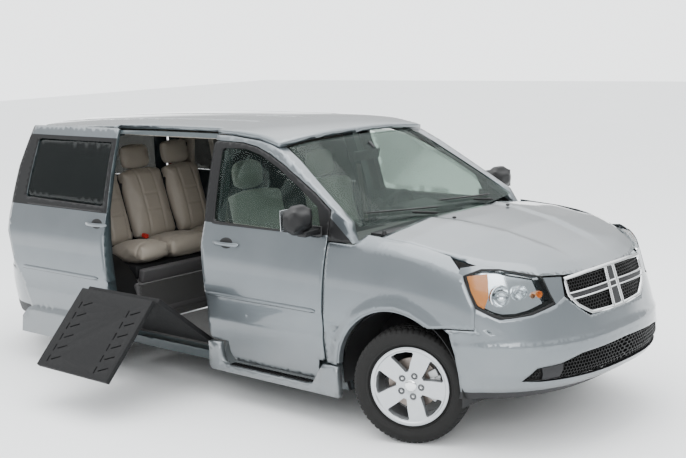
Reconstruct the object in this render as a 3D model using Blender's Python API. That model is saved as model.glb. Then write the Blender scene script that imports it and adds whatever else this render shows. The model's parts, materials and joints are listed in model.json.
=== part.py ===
"""A lowered-floor wheelchair minivan, parked with its right sliding door open and its side ramp half out.

Sizes are in metres. Everything is modelled with x = 0 at the front axle, +x forward, +y to the left and
the axles at AXLE_Z. It all hangs on one empty that stands the tyres on the ground, with the middle of
the whole vehicle over the origin."""

import math

import bmesh
import bpy
from mathutils import Matrix, Vector
from mathutils.geometry import delaunay_2d_cdt

# Overall sizes
WHEELBASE = 3.078
FRONT_OVERHANG = 0.965
REAR_OVERHANG = 1.108
HALF_WIDTH = 0.965
ROOF_Z = 1.81
BELT_Z = 1.17
WIDEST_Z = 0.68
SILL_Z = 0.225
DOOR_BOTTOM_Z = 0.42
DOOR_STEP_Z = 0.29
FLOOR_Z = 0.31
REAR_FLOOR_Z = 0.60
FLOOR_THICKNESS = 0.06
SILL_TOP_Z = 0.295
SILL_SETBACK = 0.075
HINGE_SETBACK = 0.036
SAIL_Z = 1.150
BUMPER_TOP_Z = 0.665
CENTRE_Y = 0.281

# Walls and gaps
FIT = 0.0005
SHUT_GAP = 0.007
WALL = 0.09
PILLAR = 0.055
DOOR_THICKNESS = 0.085
DOOR_LIP = 0.03
LAP_RECESS = 0.045
LID_THICKNESS = 0.022
GLASS = 0.005
GLASS_GAP = 0.003
GATE_THICKNESS = 0.07

# Wheels and running gear
TYRE_RADIUS = 0.345
TYRE_WIDTH = 0.225
RIM_RADIUS = 0.236
AXLE_Z = 0.362
TRACK_HALF = 0.825
KINGPIN_Y = 0.745
STEER = math.radians(22)
ARCH_RADIUS = 0.45

# Shut lines and openings, from the front axle
DOOR_FRONT_X = -0.545
PILLAR_X = -1.60
SLIDE_BACK = 0.87
SLIDE_OUT = 0.115

# Ramp
RAMP_WIDTH = 0.735
RAMP_FRONT_X = -1.685
RAMP_PANEL = 0.615
RAMP_OUTER_PANEL = 0.605
RAMP_HINGE_DROP = 0.004
RAMP_THICKNESS = 0.03
RAMP_HINGE_Y = 0.80
RAMP_HINGE_Z = 0.340
RAMP_INNER_ANGLE = math.radians(39)
RAMP_OUTER_ANGLE = math.radians(-47)

FINISHES = {
    "paint": ((0.33, 0.38, 0.42), 0.3, 0.8),
    "black": ((0.02, 0.02, 0.022), 0.5, 0.0),
    "glass": ((0.25, 0.32, 0.30), 0.05, 0.0),
    "dark_glass": ((0.05, 0.055, 0.055), 0.06, 0.0),
    "rubber": ((0.018, 0.018, 0.018), 0.8, 0.0),
    "alloy": ((0.62, 0.64, 0.66), 0.3, 0.9),
    "chrome": ((0.8, 0.8, 0.8), 0.08, 1.0),
    "lamp": ((0.7, 0.72, 0.74), 0.1, 0.3),
    "red_lamp": ((0.45, 0.02, 0.02), 0.15, 0.0),
    "steel": ((0.14, 0.14, 0.145), 0.5, 0.8),
    "leather": ((0.53, 0.47, 0.40), 0.6, 0.0),
    "cloth": ((0.42, 0.42, 0.38), 0.9, 0.0),
    "trim": ((0.05, 0.052, 0.055), 0.7, 0.0),
    "ramp": ((0.03, 0.03, 0.032), 0.75, 0.1),
}


def material(name):
    """The finish of that name, made the first time it is asked for."""
    made = bpy.data.materials.get(name)
    if made is None:
        colour, roughness, metallic = FINISHES[name]
        made = bpy.data.materials.new(name)
        made.use_nodes = True
        shader = made.node_tree.nodes["Principled BSDF"]
        shader.inputs["Base Color"].default_value = (*colour, 1)
        shader.inputs["Roughness"].default_value = roughness
        shader.inputs["Metallic"].default_value = metallic
        made.diffuse_color = (*colour, 1)
    return made


def empty(name, place, parent=None):
    """An empty at that place in the vehicle's own frame, unless it has a parent."""
    marker = bpy.data.objects.new(name, None)
    marker.location = place
    marker.parent = parent
    bpy.context.scene.collection.objects.link(marker)
    return marker


def add(name, mesh, finish, parent, origin=(0, 0, 0)):
    """An object whose mesh was made in the vehicle's frame, put so that its origin is at origin."""
    mesh.transform(Matrix.Translation(-Vector(origin)))
    made = bpy.data.objects.new(name, mesh)
    made.location = origin
    made.parent = parent
    mesh.materials.append(material(finish))
    bpy.context.scene.collection.objects.link(made)
    return made


def hang(name, mesh, finish, pivot):
    """An object whose mesh was made about its own joint."""
    made = bpy.data.objects.new(name, mesh)
    made.parent = pivot
    mesh.materials.append(material(finish))
    bpy.context.scene.collection.objects.link(made)
    return made


def on_pivot(name, mesh, finish, pivot, place):
    """A piece of a moving body, made in the vehicle's frame, whose empty stands on its joint at place."""
    mesh.transform(Matrix.Translation(-Vector(place)))
    return hang(name, mesh, finish, pivot)


def mesh_from(name, shape):
    mesh = bpy.data.meshes.new(name)
    shape.to_mesh(mesh)
    shape.free()
    return mesh


# ---------------------------------------------------------------- the body's surfaces


def ramp_between(value, low, high):
    """0 below low, 1 above high and smooth between."""
    share = min(1, max(0, (value - low) / (high - low)))
    return share * share * (3 - 2 * share)


def read_line(points, at):
    """The height at that place of a line through points, straight between them."""
    for (x0, y0), (x1, y1) in zip(points, points[1:]):
        if at <= x1:
            return y0 + (y1 - y0) * max(0, at - x0) / (x1 - x0)
    return points[-1][1]


NOSE = [(0.34, 0.80), (0.39, 0.885), (0.44, 0.94), (0.50, 0.965), (0.62, 0.955), (0.776, 0.905)]
NOSE += [(1.01, 0.835), (1.30, 0.70)]
NOSE_REACH = 0.965
TAIL = [(0.20, 1.06), (0.35, 1.10), (0.55, 1.108), (0.68, 1.095), (0.74, 1.045), (1.15, 1.02)]
TAIL += [(1.45, 0.94), (1.83, 0.79)]
TAIL_REACH = 1.108
GATE_ANGLE = 56
LAMP_ANGLE = 66
GATE_LOW_Z = 0.70
GATE_TOP_Z = 1.708
NOSE_POWER = 2.6
TAIL_POWER = 3.5
TAIL_START = -WHEELBASE - 0.222


def nose_x(z):
    """How far ahead of the front axle the nose reaches on the centreline."""
    return read_line(NOSE, z) - NOSE_REACH + FRONT_OVERHANG


def tail_x(z):
    """How far behind the rear axle the tail reaches on the centreline."""
    return read_line(TAIL, z) - TAIL_REACH + REAR_OVERHANG


def half_width(z):
    """Half the width across the doors: bowed below the belt, leaning in above it."""
    if z < BELT_Z:
        return HALF_WIDTH - 0.31 * (z - WIDEST_Z) ** 2
    rise = z - BELT_Z
    return HALF_WIDTH - 0.31 * (BELT_Z - WIDEST_Z) ** 2 - 0.22 * rise - 0.148 * rise**2


def side_y(x, z):
    """Half the width at any station, rounding in towards the nose and the tail."""
    width = half_width(z) - 0.004 * (x + 1.8) ** 2 * ramp_between(z, 0.9, 1.3)
    if x > 0:
        share = min(0.995, x / nose_x(z))
        return width * (1 - share**NOSE_POWER) ** (1 / NOSE_POWER)
    if x < TAIL_START:
        share = min(0.995, (TAIL_START - x) / (WHEELBASE + tail_x(z) + TAIL_START))
        return width * (1 - share**TAIL_POWER) ** (1 / TAIL_POWER)
    return width


def nose_point(angle, z, inward=0.0):
    """A point of the nose's skin: angle 0 is its middle and 90 is the side, in degrees."""
    turn = math.radians(angle)
    reach = nose_x(z) - inward
    width = half_width(z) - inward
    x = reach * abs(math.cos(turn)) ** (2 / NOSE_POWER)
    y = width * abs(math.sin(turn)) ** (2 / NOSE_POWER)
    return Vector((x, math.copysign(y, turn), z))


def tail_point(angle, z, inward=0.0):
    """A point of the tail's skin, by the same angle."""
    turn = math.radians(angle)
    reach = WHEELBASE + tail_x(z) + TAIL_START - inward
    width = half_width(z) - 0.004 * (TAIL_START + 1.8) ** 2 * ramp_between(z, 0.9, 1.3) - inward
    x = TAIL_START - reach * abs(math.cos(turn)) ** (2 / TAIL_POWER)
    y = width * abs(math.sin(turn)) ** (2 / TAIL_POWER)
    return Vector((x, math.copysign(y, turn), z))


ROOF_PEAK_X = -2.10
ROOF_DROP = 0.035


def roof_z(x, y):
    """The roof's height: crowned along and across."""
    ahead = max(0, x - ROOF_PEAK_X) / 1.28
    behind = max(0, ROOF_PEAK_X - x) / (WHEELBASE + REAR_OVERHANG + ROOF_PEAK_X)
    middle = ROOF_Z - 0.20 * ahead**5 - 0.08 * behind**2
    return middle - ROOF_DROP * (abs(y) / 0.70) ** 2.6


def rail_z(x):
    """The height of the roof's edge, where it meets the top of the side."""
    height = roof_z(x, 0) - ROOF_DROP
    for _ in range(4):
        height = roof_z(x, side_y(x, height))
    return height


SCREEN_X = -0.243
SCREEN_Z = 1.238
SCREEN_LEAN = 1.71
SCREEN_BOW = 0.16


def screen_x(y, z):
    """The windscreen's outer face."""
    return SCREEN_X - SCREEN_LEAN * (z - SCREEN_Z) - SCREEN_BOW * y * y


HOOD = [(-0.30, 1.262), (0.0, 1.245), (0.30, 1.197), (0.60, 1.112), (0.86, 1.004)]
HOOD_CROWN = 0.055


def hood_z(x, y):
    """The hood's height."""
    return read_line(HOOD, x) - HOOD_CROWN * (abs(y) / 0.78) ** 2.2


def shoulder_z(x):
    """Where the fender's side turns in towards the hood."""
    return read_line([(-0.33, 1.150), (0.0, 1.128), (0.22, 1.100), (0.45, 1.028)], x)


def fender_y(x, z):
    """Half the width over the front wheel, turning in above the shoulder."""
    over = max(0, z - shoulder_z(x))
    return side_y(x, z - over) - 0.9 * over - 6.0 * over**2


# ---------------------------------------------------------------- panels


def rounded(points, steps=3):
    """An outline from (a, b) or (a, b, radius) corners, its rounded corners as arcs."""
    outline = []
    for i, corner in enumerate(points):
        here = Vector(corner[:2])
        if len(corner) == 2:
            outline.append(here)
            continue
        before = (Vector(points[i - 1][:2]) - here).normalized()
        after = (Vector(points[(i + 1) % len(points)][:2]) - here).normalized()
        half = before.angle(after) / 2
        centre = here + (before + after).normalized() * corner[2] / math.sin(half)
        start = here + before * corner[2] / math.tan(half) - centre
        end = here + after * corner[2] / math.tan(half) - centre
        turn = start.angle_signed(end)
        for step in range(steps + 1):
            share = turn * step / steps
            outline.append(centre + Matrix.Rotation(-share, 2) @ start)
    return outline


def inside(point, outline):
    """Whether a point lies within an outline."""
    crossings = False
    for a, b in zip(outline, outline[1:] + outline[:1]):
        if (a.y > point.y) != (b.y > point.y):
            if point.x < (b.x - a.x) * (point.y - a.y) / (b.y - a.y) + a.x:
                crossings = not crossings
    return crossings


def distance_to(point, outline):
    """The shortest way from a point to an outline."""
    shortest = 1e9
    for a, b in zip(outline, outline[1:] + outline[:1]):
        along = b - a
        share = min(1, max(0, (point - a).dot(along) / max(1e-12, along.length_squared)))
        shortest = min(shortest, (a + along * share - point).length)
    return shortest


def cut_up(outline, step):
    """The outline with points added, so that no stretch is longer than step."""
    made = []
    for a, b in zip(outline, outline[1:] + outline[:1]):
        count = max(1, math.ceil((b - a).length / step))
        made += [a.lerp(b, i / count) for i in range(count)]
    return made


def shifted(outline, by):
    """The outline moved sideways by that distance, inwards where by is positive."""
    area = sum(a.cross(b) for a, b in zip(outline, outline[1:] + outline[:1]))
    by = math.copysign(1, area) * by
    moved = []
    for i, here in enumerate(outline):
        before = here - outline[i - 1]
        after = outline[(i + 1) % len(outline)] - here
        normals = [Vector((-d.y, d.x)).normalized() for d in (before, after)]
        middle = (normals[0] + normals[1]).normalized()
        moved.append(here + middle * by / max(0.5, middle.dot(normals[0])))
    return moved


def panel(name, outline, outer, inner, holes=(), step=0.3, inset=0.0, scale=(1, 1)):
    """A closed panel: the outline less its holes, meshed flat, then laid on its outer and inner surfaces.

    outer and inner turn two flat values into a point. inset draws the inner face's edge in. scale makes
    the flat values alike in size where they are an angle and a height."""
    stretch = Vector(scale)
    loops = [cut_up([Vector(p) * stretch for p in loop], step) for loop in (outline, *holes)]
    points, rims, edges = [], [], []
    for loop in loops:
        first = len(points)
        count = len(loop)
        edges += [(first + i, first + (i + 1) % count) for i in range(count)]
        drawn = shifted(loop, inset if loop is loops[0] else -inset)
        points += loop
        rims += drawn
    low = Vector((min(p.x for p in loops[0]), min(p.y for p in loops[0])))
    high = Vector((max(p.x for p in loops[0]), max(p.y for p in loops[0])))
    for i in range(1, max(2, math.ceil((high.x - low.x) / step))):
        for j in range(1, max(2, math.ceil((high.y - low.y) / step))):
            spot = low + Vector((i, j)) * step
            if inside(spot, loops[0]) and not any(inside(spot, hole) for hole in loops[1:]):
                if min(distance_to(spot, loop) for loop in loops) > max(0.4 * step, 1.6 * inset):
                    points.append(spot)
                    rims.append(spot)
    flat, _, faces, _, _, _ = delaunay_2d_cdt(points, edges, [], 0, 1e-7)
    kept = []
    for face in faces:
        middle = (flat[face[0]] + flat[face[1]] + flat[face[2]]) / 3
        if inside(middle, loops[0]) and not any(inside(middle, hole) for hole in loops[1:]):
            kept.append(face)
    shape = bmesh.new()
    top = [shape.verts.new(outer(p.x / scale[0], p.y / scale[1])) for p in points]
    bottom = [shape.verts.new(inner(p.x / scale[0], p.y / scale[1])) for p in rims]
    for a, b, c in kept:
        shape.faces.new((top[a], top[b], top[c]))
        shape.faces.new((bottom[c], bottom[b], bottom[a]))
    below = dict(zip(top, bottom))
    for edge in [edge for edge in shape.edges if edge.is_boundary and edge.verts[0] in below]:
        loop = edge.link_loops[0]
        a, b = loop.vert, loop.link_loop_next.vert
        shape.faces.new((b, a, below[a], below[b]))
    for vert in [v for v in shape.verts if not v.link_faces]:
        shape.verts.remove(vert)
    bmesh.ops.recalc_face_normals(shape, faces=shape.faces)
    if shape.calc_volume(signed=True) < 0:
        bmesh.ops.reverse_faces(shape, faces=shape.faces)
    return mesh_from(name, shape)


def side_faces(side, surface, thickness, out=0.0, forward=0.0):
    """The outer and inner faces of a panel on one side, thickness apart across the vehicle."""

    def outer(x, z):
        return (x + forward, side * (surface(x, z) + out), z)

    def inner(x, z):
        deep = thickness(x, z) if callable(thickness) else thickness
        return (x + forward, side * (surface(x, z) + out - deep), z)

    return outer, inner


def block(name, low, high, bevel=0.0):
    """A box between two corners, its edges bevelled if asked."""
    shape = bmesh.new()
    low, high = Vector(low), Vector(high)
    bmesh.ops.create_cube(shape, size=1)
    bmesh.ops.scale(shape, vec=high - low, verts=shape.verts)
    bmesh.ops.translate(shape, vec=(low + high) / 2, verts=shape.verts)
    if bevel:
        bmesh.ops.bevel(shape, geom=shape.edges[:], offset=bevel, segments=2, profile=0.5, affect="EDGES")
    return mesh_from(name, shape)


def prism(name, outline, low, high, place):
    """A flat outline drawn out from low to high. place turns two flat values and a third into a point."""
    shape = bmesh.new()
    start = [shape.verts.new(place(p[0], p[1], low)) for p in outline]
    end = [shape.verts.new(place(p[0], p[1], high)) for p in outline]
    count = len(outline)
    shape.faces.new(start)
    shape.faces.new(end[::-1])
    for i in range(count):
        shape.faces.new((start[i], start[(i + 1) % count], end[(i + 1) % count], end[i]))
    bmesh.ops.recalc_face_normals(shape, faces=shape.faces)
    if shape.calc_volume(signed=True) < 0:
        bmesh.ops.reverse_faces(shape, faces=shape.faces)
    return mesh_from(name, shape)


def turned(name, profile, steps, centre, side=1):
    """A ring or disc turned about the wheel's own axis, Y, from (radius, outward) pairs in order."""
    shape = bmesh.new()
    rings = []
    for i in range(steps):
        angle = 2 * math.pi * i / steps
        ring = []
        for radius, outward in profile:
            spot = Vector((radius * math.sin(angle), side * outward, radius * math.cos(angle)))
            ring.append(shape.verts.new(spot + Vector(centre)))
        rings.append(ring)
    count = len(profile)
    for i in range(steps):
        here, after = rings[i], rings[(i + 1) % steps]
        for j in range(count):
            k = (j + 1) % count
            shape.faces.new((here[j], here[k], after[k], after[j]))
    bmesh.ops.remove_doubles(shape, verts=shape.verts, dist=1e-6)
    bmesh.ops.recalc_face_normals(shape, faces=shape.faces)
    if shape.calc_volume(signed=True) < 0:
        bmesh.ops.reverse_faces(shape, faces=shape.faces)
    return mesh_from(name, shape)


# ---------------------------------------------------------------- the outlines of the side


def split_x(z):
    """The shut line between the front and the sliding door, bulging back at the handles."""
    line = [(0.30, 0.035), (0.60, 0.025), (0.72, 0.015), (0.88, -0.015)]
    line += [(1.03, -0.045), (1.20, -0.042), (1.70, -0.068)]
    return PILLAR_X + read_line(line, z)


def split_points(heights, gap):
    return [(split_x(z) + gap, z) for z in heights]


SPLIT_HEIGHTS = (0.60, 0.72, 0.88, 1.03, 1.20)
DOOR_TOP_Z = 1.712
FRAME_TOP = [(-0.69, 1.428), (-0.846, 1.508), (-1.0, 1.585), (-1.141, 1.645), (-1.26, 1.683), (-1.39, 1.703)]
FRAME_FRONT_Z = 1.337


def front_door_outline(gap):
    """The front door's edge, gap inside its opening."""
    low = DOOR_BOTTOM_Z + gap
    step = DOOR_STEP_Z + gap
    outline = [(DOOR_FRONT_X - gap, low, 0.02), (-0.60, low), (-0.63, step, 0.06), (-1.39, step, 0.06)]
    outline += [(-1.40, low), (split_x(0.42) + gap, low, 0.03)]
    outline += split_points(SPLIT_HEIGHTS, gap)
    outline += [(split_x(1.70) + gap, DOOR_TOP_Z - gap, 0.03)]
    outline += [(x - 0.4 * gap, z - 0.9 * gap) for x, z in reversed(FRAME_TOP)]
    outline += [(DOOR_FRONT_X - gap, FRAME_FRONT_Z - gap)]
    return rounded(outline)


def front_glass_outline():
    outline = [(-0.60, BELT_Z + 0.012, 0.02), (-1.545, BELT_Z + 0.03, 0.02)]
    outline += [(-1.575, 1.662, 0.03), (-1.36, 1.664), (-1.206, 1.628), (-1.03, 1.555)]
    outline += [(-0.832, 1.452), (-0.661, 1.348, 0.02)]
    return rounded(outline)


ARCH_CUT = ARCH_RADIUS + 0.062


def sliding_rear_edge(gap, low):
    """The sliding door's rear edge as it is closed, from low up, following the rear wheel's arch."""
    rear = -WHEELBASE
    reach = ARCH_CUT + gap
    edge = [(rear + reach, low, 0.02)]
    for height in (0.45, 0.60, 0.72):
        drop = height - AXLE_Z
        edge.append((rear + math.sqrt(reach**2 - drop**2), height))
    edge += [(rear + 0.310 + gap, 0.89), (rear + 0.267 + gap, 0.98), (rear + 0.260 + gap, 1.10)]
    edge += [(rear + 0.270 + gap, 1.24), (rear + 0.297 + gap, 1.46)]
    return edge


def sliding_door_outline(gap):
    """The sliding door's edge as it is closed."""
    front = split_x(0.42) - gap
    outline = [(front, DOOR_BOTTOM_Z + 0.004), (front, DOOR_BOTTOM_Z), (front, SILL_Z)]
    outline += [(-WHEELBASE + ARCH_CUT - 0.10, SILL_Z), (-WHEELBASE + ARCH_CUT - 0.08, 0.33)]
    outline += [(-WHEELBASE + ARCH_CUT + gap, DOOR_BOTTOM_Z)]
    outline += sliding_rear_edge(gap, DOOR_BOTTOM_Z + 0.004)
    rear_top = -WHEELBASE + 0.375
    outline += [(rear_top + 0.012, rail_z(rear_top) - 0.004, 0.02), (-2.2, rail_z(-2.2) - 0.004)]
    outline += [(split_x(1.70) - gap, rail_z(PILLAR_X) - 0.004, 0.02)]
    outline += split_points(reversed(SPLIT_HEIGHTS), -gap)
    return rounded(outline)


def top_recess(x, z):
    """How far the rail stands back over the sliding door, which laps over it up to the roof."""
    behind_front_door = x < split_x(DOOR_TOP_Z) + 0.012
    ahead_of_quarter = x > -WHEELBASE + 0.340
    return LAP_RECESS if behind_front_door and ahead_of_quarter and z > DOOR_TOP_Z - 0.012 else 0.0


def doorway_outline():
    """The one opening behind both doors. It steps down to the lowered floor for the ramp."""
    low = DOOR_BOTTOM_Z - 0.02
    step = split_x(0.42)
    outline = [(DOOR_FRONT_X, SAIL_Z + 0.008), (DOOR_FRONT_X, SAIL_Z + 0.002)]
    outline += [(DOOR_FRONT_X, low, 0.03), (step + 0.06, low), (step, SILL_TOP_Z, 0.03)]
    outline += sliding_rear_edge(0, SILL_TOP_Z) + [(-WHEELBASE + 0.350, DOOR_TOP_Z, 0.03)]
    outline += [(split_x(DOOR_TOP_Z), DOOR_TOP_Z), (split_x(DOOR_TOP_Z) + 0.02, DOOR_TOP_Z - 0.002)]
    outline += list(reversed(FRAME_TOP)) + [(DOOR_FRONT_X, FRAME_FRONT_Z)]
    return rounded(outline)


def sliding_glass_outline():
    rear = -WHEELBASE
    outline = [(PILLAR_X - 0.10, 1.235, 0.02), (rear + 0.45, 1.245, 0.02)]
    outline += [(rear + 0.49, 1.672, 0.03), (PILLAR_X - 0.115, 1.672, 0.02)]
    return rounded(outline)


def quarter_glass_outline():
    rear = -WHEELBASE
    outline = [(rear + 0.17, 1.235, 0.03), (rear - 0.63, 1.245, 0.05)]
    outline += [(rear - 0.56, 1.660, 0.05), (rear + 0.22, 1.668, 0.03)]
    return rounded(outline)


def arch(axle, radius, start, end, steps=8):
    """Points round a wheel arch, from one angle to another, in degrees from straight ahead."""
    points = []
    for i in range(steps + 1):
        turn = math.radians(start + (end - start) * i / steps)
        points.append((axle + radius * math.cos(turn), AXLE_Z + radius * math.sin(turn)))
    return points


def pillar_recess(x, z):
    """The hinge pillar stands back behind the fender, and the sill behind the doors and cladding."""
    if z < DOOR_BOTTOM_Z and x > -WHEELBASE:
        return SILL_SETBACK
    return HINGE_SETBACK if x > DOOR_FRONT_X - 0.01 and z < SAIL_Z + 0.005 else 0.0


def body_thickness(x, z):
    """A deep lower side, and slimmer pillars that widen up the windscreen."""
    slim = PILLAR + 0.03 * ramp_between(z, 1.25, 1.68) * ramp_between(x, -1.5, -1.05)
    deep = (WALL - PILLAR) * (1 - ramp_between(z, 1.05, 1.20)) * ramp_between(-x, 0.55, 0.8)
    return (slim + deep) * (1 - 0.88 * ramp_between(TAIL_START - x, 0.1, 0.4))


ROOF_EDGE = 0.026


def body_outline():
    """The whole side from the hinge pillar to the tail, with the rear wheel's arch."""
    rear = -WHEELBASE
    pillar_front = DOOR_FRONT_X + 0.075
    outline = [(pillar_front, SILL_Z), (rear + ARCH_RADIUS, SILL_Z)]
    outline += arch(rear, ARCH_RADIUS, 0, 180)
    outline += [(rear - ARCH_RADIUS, 0.33), (rear - 0.50, 0.33), (rear - 0.50, BUMPER_TOP_Z + 0.006)]
    low = BUMPER_TOP_Z + 0.006
    gate_edge = [(z, tail_point(GATE_ANGLE + 1.5, z).x) for z in (low, low + 0.02, 0.745, 0.93)]
    lamp_edge = [(z, tail_point(LAMP_ANGLE + 1.5, z).x) for z in (0.93, 1.31)]
    top_edge = [(z, tail_point(GATE_ANGLE - 0.5, z).x) for z in (1.31, 1.45, 1.60)]
    outline += [(x, z) for z, x in gate_edge + lamp_edge + top_edge]
    lap = (rear + 0.337, rear + 0.345, -2.4, -1.9, split_x(DOOR_TOP_Z) + 0.008, split_x(DOOR_TOP_Z) + 0.016)
    corner = tail_point(GATE_ANGLE - 0.5, GATE_TOP_Z).x
    stations = (corner, rear - 0.422, rear + 0.078, *lap, -1.5, -1.25, -1.15, -1.075)
    outline += [(x, rail_z(x) - ROOF_EDGE - 0.006) for x in stations]
    outline += [(screen_edge_x(z), z) for z in (1.60, 1.50, 1.38, 1.27)]
    outline += [(-0.345, SAIL_Z + 0.008), (pillar_front, SAIL_Z + 0.008), (pillar_front, SAIL_Z + 0.002)]
    return [Vector(p) for p in outline]


def screen_edge_y(z):
    """Half the windscreen's width at a height: it ends at the pillars' inner faces."""
    y = 0.7
    for _ in range(12):
        x = screen_x(y, z)
        y = side_y(x, z) - body_thickness(x, z) - 0.004
    return y


def screen_edge_x(z):
    return screen_x(screen_edge_y(z), z)


# ---------------------------------------------------------------- the vehicle, piece by piece


def body_sides(root):
    """Each whole side: hinge pillar, roof rail, pillars, sill and rear quarter, with its doorways cut."""
    for side, name in ((-1, "right"), (1, "left")):

        def skin(x, z):
            return side_y(x, z) - pillar_recess(x, z) - top_recess(x, z)

        holes = [doorway_outline(), quarter_glass_outline()]
        faces = side_faces(side, skin, body_thickness)
        mesh = panel(f"body_side_{name}", body_outline(), *faces, holes, 0.35)
        add(f"body_side_{name}", mesh, "paint", root)
        glass = panel(
            f"quarter_glass_{name}",
            shifted(quarter_glass_outline(), GLASS_GAP),
            *side_faces(side, side_y, GLASS, -0.004),
            step=0.3,
        )
        add(f"quarter_glass_{name}", glass, "dark_glass", root)
        pillar = panel(
            f"b_pillar_{name}",
            [Vector(p) for p in pillar_outline()],
            *side_faces(side, side_y, PILLAR, -DOOR_THICKNESS - 0.012),
            step=0.35,
        )
        add(f"b_pillar_{name}", pillar, "black", root)


def pillar_outline():
    """The pillar between the doors, which stands behind both of their edges."""
    heights = (DOOR_BOTTOM_Z - 0.02 + FIT, 0.72, 1.03, 1.30, DOOR_TOP_Z - 0.006)
    front = [(split_x(z) + 0.05, z) for z in heights]
    back = [(split_x(z) - 0.05, z) for z in heights]
    return front + back[::-1]


def roof(root):
    def outline_y(x):
        recess = top_recess(x, ROOF_Z)
        return side_y(x, rail_z(x)) - recess - (0.003 if recess else 0.0)

    lap = (split_x(DOOR_TOP_Z) + 0.016, split_x(DOOR_TOP_Z) + 0.008, -1.9, -2.4)
    lap += (-WHEELBASE + 0.345, -WHEELBASE + 0.337)
    stations = (-1.075, -1.25, -1.5, *lap, -WHEELBASE + 0.078, -WHEELBASE - 0.422, -WHEELBASE - 0.745)
    right = [(x, -outline_y(x)) for x in stations]
    left = [(x, outline_y(x)) for x in reversed(stations)]
    rear = [(-WHEELBASE - 0.785, 0.45), (-WHEELBASE - 0.79, 0.0), (-WHEELBASE - 0.785, -0.45)]
    outline = [Vector(p) for p in right + rear[::-1] + left + [(-1.068, 0.4), (-1.062, 0.0), (-1.068, -0.4)]]
    mesh = panel(
        "roof_panel",
        outline,
        lambda x, y: (x, y, roof_z(x, y)),
        lambda x, y: (x, y, roof_z(x, y) - ROOF_EDGE + FIT),
        step=0.35,
    )
    add("roof_panel", mesh, "paint", root)


def windscreen(root):
    heights = (1.245, 1.38, 1.50, 1.60, 1.675)
    top = [(0.45, 1.692), (0.0, 1.702), (-0.45, 1.692)]
    edge = [(screen_edge_y(z) - 0.004, z) for z in heights]
    outline = edge + top + [(-y, z) for y, z in reversed(edge)] + [(-0.4, 1.236), (0.0, 1.234), (0.4, 1.236)]
    mesh = panel(
        "windshield",
        [Vector(p) for p in outline],
        lambda y, z: (screen_x(y, z), y, z),
        lambda y, z: (screen_x(y, z) - GLASS * 2, y, z),
        step=0.3,
    )
    add("windshield", mesh, "glass", root)


def fenders(root):
    for side, name in ((-1, "right"), (1, "left")):
        back = DOOR_FRONT_X + SHUT_GAP
        outline = [(back, DOOR_BOTTOM_Z), (-ARCH_RADIUS * 0.985, DOOR_BOTTOM_Z)]
        outline += reversed(arch(0, ARCH_RADIUS + 0.005, 57, 172, 7))
        outline += [(0.36, 0.752), (0.505, 0.752), (0.50, 0.87), (0.425, 1.022), (0.415, 1.045)]
        outline += [(x, shoulder_z(x) + 0.058) for x in (0.30, 0.15, 0.0, -0.15, -0.29)]
        outline += [(-0.335, SAIL_Z), (back, SAIL_Z)]
        mesh = panel(
            f"front_fender_{name}",
            [Vector(p) for p in outline],
            *side_faces(side, fender_y, 0.005),
            step=0.3,
        )
        add(f"front_fender_{name}", mesh, "paint", root)


def hood_edge_y(x):
    """Half the hood's width: it stops short of the fenders' top edges."""
    return fender_y(x, shoulder_z(x) + 0.058) - 0.012


HOOD_REAR_X = -0.195


def hood(root):
    hinge = (HOOD_REAR_X + 0.03, 0, 1.225)
    pivot = empty("hood_hinge", hinge, root)
    sides = [(x, hood_edge_y(x)) for x in (HOOD_REAR_X, 0.0, 0.15, 0.30, 0.40)]
    front = [(0.56, 0.705), (0.70, 0.555), (0.765, 0.40), (0.808, 0.22), (0.822, 0.0)]
    right = [(x, -y) for x, y in sides + front[:-1]]
    left = [(x, y) for x, y in reversed(sides + front)]
    rear = [(HOOD_REAR_X + 0.012, 0.4), (HOOD_REAR_X + 0.018, 0), (HOOD_REAR_X + 0.012, -0.4)]
    mesh = panel(
        "hood",
        [Vector(p) for p in right + left + rear],
        lambda x, y: (x, y, hood_z(x, y)),
        lambda x, y: (x, y, hood_z(x, y) - LID_THICKNESS),
        step=0.25,
    )
    on_pivot("hood", mesh, "paint", pivot, hinge)


GRILLE_TOP_Z = 0.995


def grille_outline(gap):
    half = [(21 - gap * 60, GRILLE_TOP_Z - gap), (20.5 - gap * 60, 0.90), (11 - gap * 60, 0.78 + gap)]
    return [Vector(p) for p in half + [(-a, z) for a, z in reversed(half)]]


ANGLE_SCALE = (0.0155, 1)


def headlight_outline(side, gap):
    """The lamp between hood, grille and fender, in nose angles and heights."""
    grow = gap * 60
    half = [(31 + grow, 0.985 - gap), (40, 1.0 - gap), (52, 1.0 - gap), (61.5 - grow, 1.0 - gap)]
    half += [(59.5 - grow, 0.875 + gap), (50, 0.815 + gap), (38, 0.83 + gap), (27.5 + grow, 0.872 + gap)]
    return [Vector((side * a, z)) for a, z in half]


def nose_faces(out, deep):
    def outer(angle, z):
        return nose_point(angle, z, -out)

    def inner(angle, z):
        return nose_point(angle, z, deep - out)

    return outer, inner


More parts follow.
